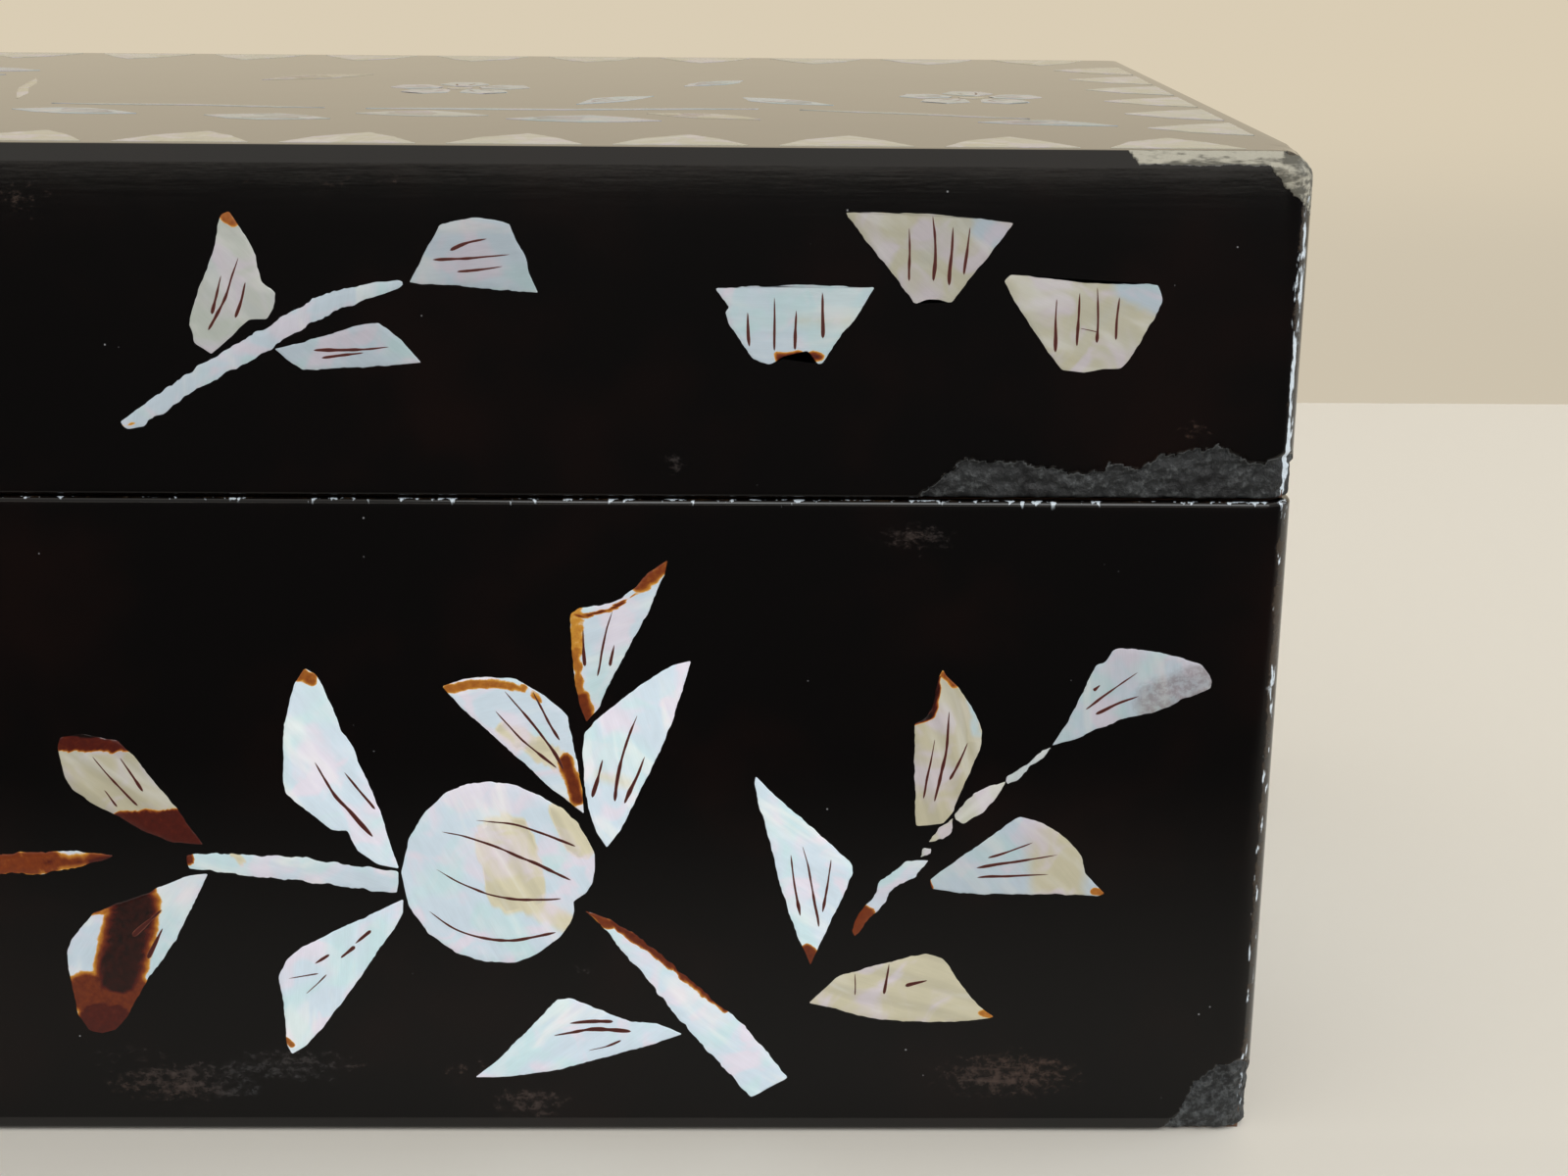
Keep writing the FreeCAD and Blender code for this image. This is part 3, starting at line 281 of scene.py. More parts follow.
LINK = Piece("link", (1.9, 31.8), (-1.9, 35.2),
             right=((1.3, 31.2), (-2.4, 34.6)), left=((2.4, 32.4), (-1.3, 35.8)))


def widened(name, root, tip, left, right):
    """A piece drawn by its half widths at even steps from root to tip, each side its own."""
    root, tip = np.array(root, float), np.array(tip, float)
    along = tip - root
    leftwards = np.array((-along[1], along[0])) / np.hypot(*along)
    edges = []
    for widths, way in ((right, -leftwards), (left, leftwards)):
        steps = np.arange(1, len(widths) + 1)[:, None] / (len(widths) + 1)
        edges.append(root + along * steps + way * np.array(widths)[:, None])
    return Piece(name, tuple(root), tuple(tip), *edges)


TOP_LEAVES = (
    widened("top_leaf_1", (40.5, -34), (27, -31), (1.8, 3, 2.4), (2.4, 3.6, 2)),
    widened("top_leaf_2", (42, -28), (56, -29.5), (3, 4.2, 2.6), (1.4, 2, 1.6)),
    widened("top_leaf_3", (58, -33), (74, -34), (3.4, 5, 3.2), (1.6, 2.4, 1.8)),
    widened("top_leaf_4", (72, -26), (84, -32), (2, 3.2, 2.4), (1.2, 1.8, 1)),
    widened("top_leaf_5", (20, -30), (6, -26), (1.6, 2.4, 1.8), (2.2, 3.6, 3)),
    widened("top_leaf_6", (92, -15), (82, -6), (1.8, 3, 2.6), (1.2, 2, 1.6)),
    widened("top_leaf_7", (106, -33), (120, -36), (3, 4.2, 2.6), (0.8, 1, 0.8)),
    widened("top_leaf_8", (64, -16), (72, -5), (1.8, 3.4, 2.6), (1.2, 1.6, 1)),
    widened("top_leaf_9", (75, 9), (82, 18), (1.6, 2.4, 1.8), (1.4, 2.2, 1.6)),
    widened("top_leaf_10", (24, 14), (36, 24), (2, 3.2, 2), (1.6, 2.6, 1.8)),
)
TOP_STEMS = (
    widened("top_stem_1", (8, -19), (38, -22),
            (0.7, 1.2, 1.6, 1.2, 0.7), (0.7, 0.2, -0.2, 0.1, 0.6)),
    widened("top_stem_2", (42, -22.6), (84, -20),
            (0.6, 0.1, -0.4, 0.1, 0.6), (0.6, 1.1, 1.6, 1.1, 0.6)),
    widened("top_stem_3", (88, -20.5), (112, -29), (0.6, 1.2, 0.5), (0.6, 0.2, 0.5)),
)
TOP_LINK = widened("top_link", (3, -14), (-3, 14), (0.6, 1, 0.6), (0.6, 0.2, 0.6))
BLOSSOMS = ((49, 4), (108, -4))
PETAL_COUNT = 5
PETAL_ROOT, PETAL_TIP = 2.4, 8.0
PETAL_HALF_WIDTHS = (0.8, 3.0, 1.8)
EYE_RADIUS, EYE_CORNERS = 1.5, 8
BORDER_INSET = 3.0
BORDER_PITCH = 15.3
LENGTH_COUNT, END_COUNT = 17, 6
BORDER_PIECE = Piece("border", (-6.3, 0), (6.3, 0), left=((-3.8, 5.5), (0.6, 9.5), (3.6, 5.5)))
# Middles of the spray and of the fan that the ends repeat, and how far right the back's stands.
SPRAY_MIDDLE, FAN_MIDDLE, BACK_SHIFT = 60.5, 99.2, 10

# ---------------------------------------------------------------- finish of the shell pieces
# Tone of a piece, from blue white at 0 to cream at 1, and how light it is beside fresh shell.
LOOKS = {
    "middle_leaf_upper": (0.95, 0.62), "middle_leaf_lower": (0.1, 0.84),
    "tall_leaf_upper": (0.3, 1.0), "tall_leaf_lower": (0.05, 0.98), "leaning_leaf": (0.2, 0.9),
    "crest_leaf": (0.25, 0.84), "upright_leaf": (0.1, 1.0), "ground_leaf": (0.05, 1.0),
    "hanging_leaf": (0.05, 1.0), "bud": (0.95, 0.66), "corner_leaf": (0.3, 0.62),
    "side_leaf": (0.15, 0.66), "cracked_leaf": (0.95, 0.78), "fruit": (0.3, 0.92),
    "first_stem": (0.4, 0.8), "middle_stem": (0.1, 0.86), "long_stem": (0.05, 1.0),
    "rising_stem_1": (0.1, 0.8), "rising_stem_2": (0.6, 0.7), "rising_stem_3": (0.7, 0.66),
    "rising_stem_4": (0.7, 0.72), "rising_stem_5": (0.5, 0.7),
    "lid_leaf_upper": (0.6, 0.58), "lid_leaf_end": (0.1, 0.52), "lid_leaf_lower": (0.2, 0.58),
    "lid_stem": (0.1, 0.66), "petal_left": (0.15, 0.68), "petal_middle": (0.75, 0.52),
    "petal_right": (0.75, 0.58), "border": (0.7, 0.55), "petal": (0.5, 0.5), "eye": (0.8, 0.45),
}

# Marks on a face run along a line: both its ends, reach, blur and strength. A resin stain of
# 0.5 is amber and one of 1 is burnt dark; a cream mark adds to the tone, and a dull mark greys.
STAINS = (
    (15.9, 42.9, 22.6, 42.7, 1.5, 0.3, 0.74), (16.0, 43.7, 22.7, 43.2, 1.3, 0.9, 1.0),
    (22.1, 33.3, 28.2, 33.4, 2.2, 0.3, 0.76), (19.7, 32.7, 26.7, 30.4, 1.3, 0.8, 0.97),
    (2.0, 29.6, 14.0, 29.8, 1.6, 0.5, 0.6), (13.5, 29.8, 18.0, 29.8, 1.5, 1.6, 0.74),
    (18.0, 29.9, 21.0, 30.4, 2.0, 2.4, 1.0), (27.1, 30.4, 27.5, 30.2, 0.9, 0.4, 0.7),
    (22.0, 25.1, 19.9, 17.5, 3.3, 1.6, 0.9), (17.9, 25.1, 23.4, 27.2, 1.3, 0.8, 0.95),
    (16.6, 15.6, 21.1, 15.4, 2.9, 1.0, 0.66), (17.6, 12.6, 19.0, 12.4, 2.6, 0.8, 0.76),
    (39.4, 49.5, 40.8, 49.1, 1.0, 0.5, 0.52), (36.3, 10.3, 36.8, 9.8, 0.5, 0.3, 0.5),
    (53.7, 48.0, 57.0, 48.7, 0.8, 0.5, 0.47), (57.0, 48.7, 61.3, 48.1, 0.8, 0.5, 0.47),
    (61.3, 48.1, 62.8, 46.9, 0.6, 0.4, 0.47), (65.2, 40.7, 66.1, 36.7, 1.2, 0.8, 0.66),
    (66.4, 55.9, 66.5, 52.4, 1.2, 0.6, 0.39), (66.4, 51.9, 66.6, 46.9, 0.7, 0.4, 0.47),
    (66.6, 46.9, 67.1, 45.2, 1.6, 1.0, 0.64), (72.4, 58.5, 74.9, 60.5, 1.2, 0.7, 0.57),
    (66.8, 55.4, 69.8, 56.1, 0.3, 0.2, 0.74), (69.8, 56.1, 72.2, 57.8, 0.3, 0.2, 0.74),
    (66.7, 25.1, 69.2, 23.2, 0.9, 0.5, 0.6), (69.4, 23.6, 75.2, 19.0, 0.7, 0.4, 0.68),
    (75.2, 19.0, 80.8, 13.9, 0.7, 0.4, 0.68), (89.0, 20.1, 89.7, 18.9, 1.2, 0.5, 0.64),
    (99.2, 44.7, 100.8, 45.5, 0.5, 0.3, 0.92), (100.8, 45.5, 101.4, 49.3, 0.5, 0.3, 0.88),
    (101.8, 49.7, 102.9, 48.8, 0.8, 0.5, 0.55), (93.5, 22.3, 94.8, 24.5, 1.1, 0.4, 0.61),
    (117.5, 26.9, 118.7, 26.7, 0.6, 0.3, 0.48), (100.9, 27.9, 101.1, 27.3, 0.5, 0.3, 0.7),
    (106.6, 13.6, 107.8, 13.2, 0.7, 0.6, 0.45), (96.5, 18.9, 99.0, 19.6, 0.8, 1.4, 0.36),
    (89.5, 14.6, 91.0, 15.0, 0.5, 0.8, 0.36), (104.3, 38.9, 105.8, 38.1, 0.3, 0.3, 0.5),
    (91.4, 15.8, 93.4, 17.5, 0.5, 1.0, 0.35), (94.4, 16.4, 94.8, 18.0, 0.3, 0.8, 0.34),
)
LID_STAINS = (
    (35.0, 26.4, 35.7, 25.9, 0.9, 0.4, 0.52), (85.7, 13.4, 89.4, 13.6, 0.8, 0.6, 0.74),
    (92.1, 27.2, 97.7, 27.3, 0.4, 0.3, 0.47), (24.2, 6.6, 25.4, 6.9, 0.4, 0.4, 0.42),
    (31.6, 14.5, 32.0, 15.8, 0.3, 0.5, 0.36),
)
CREAM = (
    (59.0, 32.0, 59.9, 27.3, 3.1, 0.3, 0.8), (64.9, 35.3, 66.5, 31.8, 1.7, 0.3, 0.85),
    (61.7, 25.1, 64.8, 23.5, 1.5, 0.8, 0.55), (59.4, 43.7, 65.0, 40.3, 1.2, 0.3, 0.85),
    (68.4, 39.1, 71.1, 38.3, 1.6, 1.4, 0.5), (113.6, 33.4, 113.9, 27.1, 4.4, 2.6, 0.75),
    (104.6, 47.3, 105.3, 43.7, 0.8, 0.8, -0.7), (32.1, 30.7, 32.9, 30.0, 0.6, 0.3, 0.8),
)
LID_CREAM = ((104.5, 25.5, 106.0, 24.5, 1.6, 1.2, -0.6), (87.5, 17.0, 92.0, 17.0, 2.2, 2.5, 0.5),
             (118.0, 20.6, 121.5, 19.0, 1.9, 1.8, -0.75))
DULL = ((122.7, 47.0, 128.5, 49.4, 2.4, 0.8, 0.8),)
# How thick the cut lines of a piece are beside the others', where they differ.
CUT_WIDTHS = {"tall_leaf_lower": (1.7, 1.5, 1.0, 0.5, 0.5), "tall_leaf_upper": (1.5, 1.3),
              "upright_leaf": (1.5, 1.3, 1.2), "middle_leaf_lower": (1.8, 1.6),
              "ground_leaf": (1.3, 1.4, 0.7), "petal_right": (1, 1, 1, 1, 0.4),
              "cracked_leaf": (0.8, 1.2, 0.7)}
BASE_MARKS, LID_MARKS, NO_MARKS = (STAINS, CREAM, DULL), (LID_STAINS, LID_CREAM, ()), ((), (), ())


# ---------------------------------------------------------------- faces of the box

class Face:
    """A face of the box, where a drawing's across, up and outward become places in metres."""

    def __init__(self, origin, across, up):
        self.origin = np.array(origin, float)
        self.axes = np.array((across, up, np.cross(across, up)), float)

    def place(self, spots):
        """Place = origin + across * first + up * second + outward * third, in metres."""
        return (self.origin + spots @ self.axes) * MM


BASE_FRONT = Face((0, -HALF_DEPTH, 0), (1, 0, 0), (0, 0, 1))
BASE_BACK = Face((0, HALF_DEPTH, 0), (-1, 0, 0), (0, 0, 1))
BASE_RIGHT = Face((HALF_WIDTH, 0, 0), (0, 1, 0), (0, 0, 1))
BASE_LEFT = Face((-HALF_WIDTH, 0, 0), (0, -1, 0), (0, 0, 1))
LID_FRONT = Face((0, -HALF_DEPTH, LID_RIM), (1, 0, 0), (0, 0, 1))
LID_BACK = Face((0, HALF_DEPTH, LID_RIM), (-1, 0, 0), (0, 0, 1))
LID_RIGHT = Face((HALF_WIDTH, 0, LID_RIM), (0, 1, 0), (0, 0, 1))
LID_LEFT = Face((-HALF_WIDTH, 0, LID_RIM), (0, -1, 0), (0, 0, 1))
LID_FACE = Face((0, 0, LID_TOP), (1, 0, 0), (0, 1, 0))


def changed(piece, change, swap=False):
    """The piece with every corner and cut moved by a function of its places."""
    root, tip = change(np.array(piece.root, float)), change(np.array(piece.tip, float))
    edges = [change(np.array(edge, float).reshape(-1, 2)) for edge in (piece.right, piece.left)]
    if swap:
        edges.reverse()
    cuts = tuple(change(np.array(cut, float)) for cut in piece.cuts)
    return Piece(piece.name, root, tip, *edges, cuts)


def shifted(pieces, across):
    """The pieces moved along a face."""
    return [changed(piece, lambda spots: spots + (across, 0)) for piece in pieces]


def with_half_turn(pieces, height):
    """The pieces, and the same ones turned half round about the middle of a face."""
    return [*pieces, *(changed(piece, lambda spots: (0, height) - spots) for piece in pieces)]


def with_mirror(pieces):
    """The pieces, and the same ones mirrored from the right half of a face to its left half."""
    flip = np.array((-1, 1))
    return [*pieces, *(changed(piece, lambda spots: spots * flip, swap=True) for piece in pieces)]


# ---------------------------------------------------------------- numbers along a line

# Random levels are drawn once for a seed and used over and over, along a line or on a lattice.
LINE_LEVELS, LINE_START = 997, 499
LATTICE_LEVELS, ROW_STEP, COLUMN_STEP = 4999, 71, 1031


def eased(share):
    """3s^2 - 2s^3, which starts and ends level."""
    return share * share * (3 - 2 * share)


def even_noise(place, spacing, seed):
    """Random levels from -1 to 1 at even spacing, eased between."""
    levels = np.random.default_rng(seed).uniform(-1, 1, LINE_LEVELS)
    place = np.asarray(place, float) / spacing + LINE_START
    low = np.floor(place).astype(int)
    ease = eased(place - low)
    return levels[low % LINE_LEVELS] * (1 - ease) + levels[(low + 1) % LINE_LEVELS] * ease


def patch_noise(first, second, spacing, seed):
    """Random levels from -1 to 1 on a square lattice, eased between in both directions."""
    levels = np.random.default_rng(seed).uniform(-1, 1, LATTICE_LEVELS)

    def level(row, column):
        return levels[(row * ROW_STEP + column * COLUMN_STEP) % LATTICE_LEVELS]

    first, second = np.asarray(first, float) / spacing, np.asarray(second, float) / spacing
    row, column = np.floor(first).astype(int), np.floor(second).astype(int)
    down, along = eased(first - row), eased(second - column)
    near = level(row, column) * (1 - along) + level(row, column + 1) * along
    far = level(row + 1, column) * (1 - along) + level(row + 1, column + 1) * along
    return near * (1 - down) + far * down


def points_along(chain, shares):
    """Points at the given shares of the length of a chain of straight runs."""
    runs = np.hypot(*np.diff(chain, axis=0).T)
    length = np.concatenate(([0], np.cumsum(runs)))
    return np.stack([np.interp(shares * length[-1], length, side) for side in chain.T], axis=1)


def chain_length(chain):
    """The runs of a chain added up."""
    return np.hypot(*np.diff(chain, axis=0).T).sum()


def eased_corners(line, rounds):
    """Every inner point becomes half itself and a quarter of each neighbour, a few rounds over."""
    for _ in range(rounds):
        line[1:-1] = (line[:-2] + 2 * line[1:-1] + line[2:]) / 4
    return line


def unit(vectors):
    """Each vector over its length."""
    return vectors / np.maximum(np.linalg.norm(vectors, axis=-1, keepdims=True), 1e-9)


def sideways(line):
    """The direction to the left of a line at each of its points."""
    way = unit(np.gradient(line, axis=0))
    return np.stack((-way[:, 1], way[:, 0]), axis=1)


# ---------------------------------------------------------------- meshes from grids

SHARP_ANGLE = math.radians(35)
# Points nearer than this are merged, and edges shorter than the second length dissolved, in metres.
MERGE_WITHIN, NO_LENGTH = 1e-6, 1e-7


def linked(name, data):
    """A new object in the scene for a mesh, a lamp or a camera."""
    made = bpy.data.objects.new(name, data)
    bpy.context.scene.collection.objects.link(made)
    return made


class Sheets:
    """Gathers grids of points into one mesh, with numbers kept on its points."""

    def __init__(self):
        self.spots, self.faces, self.flat, self.numbers = [], [], [], {}
        self.count = 0

    def add(self, grid, flat=None, capped=False, looped=False, **numbers):
        """One grid of rows and columns of places in metres, closed across its columns.

        Capped closes its first and last rows with a face each, looped joins them instead. Flat
        holds the points' places on a drawing, for the UV map.
        """
        rows, columns = grid.shape[:2]
        index = np.arange(rows * columns).reshape(rows, columns)
        near = index if looped else index[:-1]
        far = np.roll(index, -1, axis=0) if looped else index[1:]
        quads = np.stack((near, np.roll(near, -1, 1), np.roll(far, -1, 1), far), axis=-1)
        quads = quads.reshape(-1, 4)
        corner = grid.reshape(-1, 3)[quads] - grid.mean(axis=(0, 1))
        volume = np.einsum("ni,ni->", corner[:, 0], np.cross(corner[:, 1], corner[:, 2]))
        volume += np.einsum("ni,ni->", corner[:, 0], np.cross(corner[:, 2], corner[:, 3]))
        faces = quads.tolist()
        if capped:
            faces += [index[0][::-1].tolist(), index[-1].tolist()]
        if volume < 0:
            faces = [face[::-1] for face in faces]
        self.faces += [[corner + self.count for corner in face] for face in faces]
        self.spots.append(grid.reshape(-1, 3))
        size = (rows, columns)
        self.flat.append((np.zeros((*size, 2)) if flat is None else flat).reshape(-1, 2))
        for name, number in numbers.items():
            self.numbers.setdefault(name, []).append(np.broadcast_to(number, size).reshape(-1))
        self.count += rows * columns

    def piece(self, name, body, slot, material, stands_for=()):
        """The mesh object, riding on its body in place of the nodes it stands for."""
        mesh = bpy.data.meshes.new(name)
        mesh.from_pydata(np.concatenate(self.spots).tolist(), [], self.faces)
        for key, rows in self.numbers.items():
            attribute = mesh.attributes.new(key, "FLOAT", "POINT")
            attribute.data.foreach_set("value", np.concatenate(rows).astype(np.float32))
        layer = mesh.uv_layers.new(name="UVMap")
        corner = np.empty(len(mesh.loops), dtype=np.int32)
        mesh.loops.foreach_get("vertex_index", corner)
        layer.data.foreach_set("uv", np.concatenate(self.flat)[corner].astype(np.float32).ravel())
        merged = bmesh.new()
        merged.from_mesh(mesh)
        bmesh.ops.remove_doubles(merged, verts=merged.verts, dist=MERGE_WITHIN)
        bmesh.ops.dissolve_degenerate(merged, edges=merged.edges, dist=NO_LENGTH)
        merged.to_mesh(mesh)
        merged.free()
        mesh.validate()
        mesh.shade_smooth()
        mesh.set_sharp_from_angle(angle=SHARP_ANGLE)
        mesh.materials.append(material)
        made = linked(name, mesh)
        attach(made, body)
        if stands_for:
            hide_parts(*stands_for)


# ---------------------------------------------------------------- shell pieces

# Spacing of a plate's points along and across it, the width of the bevel at its edges, and
# where its buried underside lies; how far the saw strays along leaves and along thin stems.
PLATE_ROW, PLATE_COLUMN, PLATE_BEVEL, PLATE_UNDERSIDE = 0.22, 0.6, 0.14, -0.4
NIBBLE, STEM_NIBBLE = 0.06, 0.13
# The same spacing and depth for a cut line, and how often its drawn corners are eased.
CUT_ROW, CUT_UNDERSIDE, CUT_ROUNDS = 0.16, -0.1, 120


def shares_with_corners(chain, rows):
    """Even shares of a chain's length, with the nearest ones moved onto the chain's corners."""
    shares = np.linspace(0.006, 0.994, rows)
    runs = np.hypot(*np.diff(chain, axis=0).T)
    for corner in np.cumsum(runs)[:-1] / runs.sum():
        shares[np.abs(shares - corner).argmin()] = corner
    return shares


def edge_chain(piece, edge):
    """One edge of a piece as a chain of places from its root to its tip."""
    return np.concatenate(([piece.root], np.array(edge, float).reshape(-1, 2), [piece.tip]))


def sawn_edges(piece, seed, rows, nibble):
    """Both edges of a piece with as many points each, roughened as by a hand saw."""
    edges = []
    for turn, edge in enumerate((piece.right, piece.left)):
        chain = edge_chain(piece, edge)
        shares = shares_with_corners(chain, rows)
        line = eased_corners(points_along(chain, shares), 1)
        length = shares * chain_length(chain)
        bite = even_noise(length, 0.9, seed + turn)
        bite = bite + 0.6 * even_noise(length, 0.35, seed + 7 + turn)
        calm = np.minimum(1, 6 * np.minimum(shares, 1 - shares))
        edges.append(line + sideways(line) * (nibble * bite * calm)[:, None])
    return edges


def marks(spots, areas):
    """Each mark's strength at each spot, one sheet for each mark and one of nothing.

    It is strength * (reach - distance to the mark's line) / blur, from 0 to the whole strength.
    """
    ragged = 0.2 * patch_noise(spots[..., 0], spots[..., 1], 0.7, 61)
    found = [np.zeros(spots.shape[:-1])]
    for across, up, across_end, up_end, reach, blur, strength in areas:
        start, run = np.array((across, up)), np.array((across_end - across, up_end - up))
        share = np.clip((spots - start) @ run / max(run @ run, 1e-9), 0, 1)
        gap = np.linalg.norm(spots - start - share[..., None] * run, axis=-1)
        found.append(strength * np.clip((reach - gap + ragged) / blur, 0, 1))
    return np.stack(found)


def add_plate(sheets, face, piece, seed, sizes, spread, drawn):
    """A thin shell plate between a piece's two edges.

    Spot(t, u) = right(t) + u * (left(t) - right(t)). Across the section the height is level,
    drops by the edge bevel at both edges and goes down to the plate's buried underside.
    """
    length = max(chain_length(edge_chain(piece, edge)) for edge in (piece.right, piece.left))
    rows = int(np.clip(length / PLATE_ROW, 14, 130))
    right, left = sawn_edges(piece, seed, rows, STEM_NIBBLE if "stem" in piece.name else NIBBLE)
    width = np.linalg.norm(left - right, axis=1)
    steps = int(np.clip(width.max() / PLATE_COLUMN, 2, 24))
    bevel = np.minimum(PLATE_BEVEL / np.maximum(width, 1e-6), 0.3)[:, None]
    inner = bevel + np.linspace(0, 1, steps + 1)[None] * (1 - 2 * bevel)
    ends = np.ones((rows, 1))
    across = np.concatenate((0 * ends, 0 * ends, inner, ends, ends), axis=1)
    level, low = -sizes.shell_below_box, -sizes.shell_below_box - sizes.shell_edge_bevel
    height = np.array([PLATE_UNDERSIDE, low] + [level] * (steps + 1) + [low, PLATE_UNDERSIDE])
    flat = right[:, None] + across[..., None] * (left - right)[:, None]
    grid = np.concatenate((flat, np.broadcast_to(height, across.shape)[..., None]), axis=2)
    rng = np.random.default_rng(seed)
    turn, slide = rng.uniform(0, 6.28), rng.uniform(-400, 400, 2)
    spin = np.array(((math.cos(turn), -math.sin(turn)), (math.sin(turn), math.cos(turn))))
    stains, cream, dull = spread
    on_drawing = flat if drawn is None else drawn(flat)
    tone, light = LOOKS.get(piece.name, (rng.uniform(0.1, 0.9), rng.uniform(0.42, 0.55)))
    tone = tone + rng.uniform(-0.05, 0.05) + marks(on_drawing, cream).sum(axis=0)
    sheets.add(face.place(grid), flat=flat @ spin + slide, capped=True,
               tone=np.clip(tone, 0, 1), light=light, stain=marks(on_drawing, stains).max(axis=0),
               dull=marks(on_drawing, dull).max(axis=0))


def add_cut(sheets, face, cut, seed, sizes, width):
    """A cut line filled with dark resin, as a low ridge along it.

    Spot(s, u) = line(s) + u * half width(s) * aside, where the half width grows with s to its
    thick end and closes at both ends; its height is an arch over u.
    """
    chain = np.array(cut, float)
    rows = int(np.clip(chain_length(chain) / CUT_ROW, 10, 90))
    shares = np.linspace(0, 1, rows)
    line = eased_corners(points_along(chain, shares), CUT_ROUNDS)
    aside = sideways(line)
    rng = np.random.default_rng(seed)
    length = shares * chain_length(chain)
    wide = (0.3 + 0.7 * shares ** 0.8) * (1 - np.abs(2 * shares - 1) ** 7) ** 0.6
    wide = width * rng.uniform(0.8, 1.25) * wide * (1 + 0.3 * even_noise(length, 0.8, seed)) + 0.006
    line = line + aside * (0.06 * even_noise(length, 2.0, seed + 3))[:, None]
    across = np.array((-1, -1, -0.55, 0, 0.55, 1, 1))
    level = -sizes.shell_below_box
    edge, shoulder = level - 0.002, level * 0.3
    height = np.array((CUT_UNDERSIDE, edge, shoulder, 0, shoulder, edge, CUT_UNDERSIDE))
    flat = line[:, None] + aside[:, None] * (wide[:, None] * across)[..., None]
    grid = np.concatenate((flat, np.broadcast_to(height, (rows, len(height)))[..., None]), axis=2)
    sheets.add(face.place(grid), flat=flat, capped=True, heart=1 - np.abs(across))


# How far apart the seeds of two groups and of two pieces lie.
GROUP_SEEDS, PIECE_SEEDS = 1000, 31


def own_cuts(piece, seed, count):
    """Cut lines for a piece that has none drawn: shares of its width held along its length."""
    rng = np.random.default_rng(seed)
    right, left = sawn_edges(piece, seed, 40, 0)
    cuts = []
    for index in range(count):
        share = (index + 1) / (count + 1) + rng.uniform(-0.05, 0.05)
        start, end = 22 + rng.integers(-3, 4), 9 + rng.integers(-3, 3)
        cuts.append((right + share * (left - right))[start:end:-1])
    return cuts


def around(spot, radius):
    """A small round piece: half a ring of corners on each side of a line across it."""
    angles = np.radians(np.linspace(0, 180, EYE_CORNERS + 1)[1:-1])
    rim = np.stack((np.cos(angles), np.sin(angles)), axis=1) * radius
    spot = np.array(spot, float)
    return Piece("eye", spot + (radius, 0), spot - (radius, 0), spot + rim * (1, -1), spot + rim)


def blossom(middle):
    """Petals set evenly round a small eye."""
    pieces = [around(middle, EYE_RADIUS)]
    for index in range(PETAL_COUNT):
        angle = math.radians(90 + 360 * index / PETAL_COUNT)
        way = np.array((math.cos(angle), math.sin(angle)))
        side = np.array((-way[1], way[0]))
        root, tip = np.array(middle) + way * PETAL_ROOT, np.array(middle) + way * PETAL_TIP
        line = (root, (root + tip) / 2, tip)
        edges = [[spot + side * turn * wide for spot, wide in zip(line, PETAL_HALF_WIDTHS)]
                 for turn in (-1, 1)]
        pieces.append(Piece("petal", root, tip, *edges))
    return pieces


def border():
    """Low peaks along each edge of the lid top, pointing inwards."""
    pieces = []
    for count, (first, second), reach in ((LENGTH_COUNT, (1, 0), HALF_DEPTH),
                                          (LENGTH_COUNT, (-1, 0), HALF_DEPTH),
                                          (END_COUNT, (0, 1), HALF_WIDTH),
                                          (END_COUNT, (0, -1), HALF_WIDTH)):
        along, inward = np.array((first, second), float), np.array((-second, first), float)
        axes = np.stack((along, inward))
        for index in range(count):
            middle = inward * (BORDER_INSET - reach)
            middle = middle + along * (index - (count - 1) / 2) * BORDER_PITCH
            pieces.append(changed(BORDER_PIECE, lambda spots: middle + spots @ axes))
    return pieces


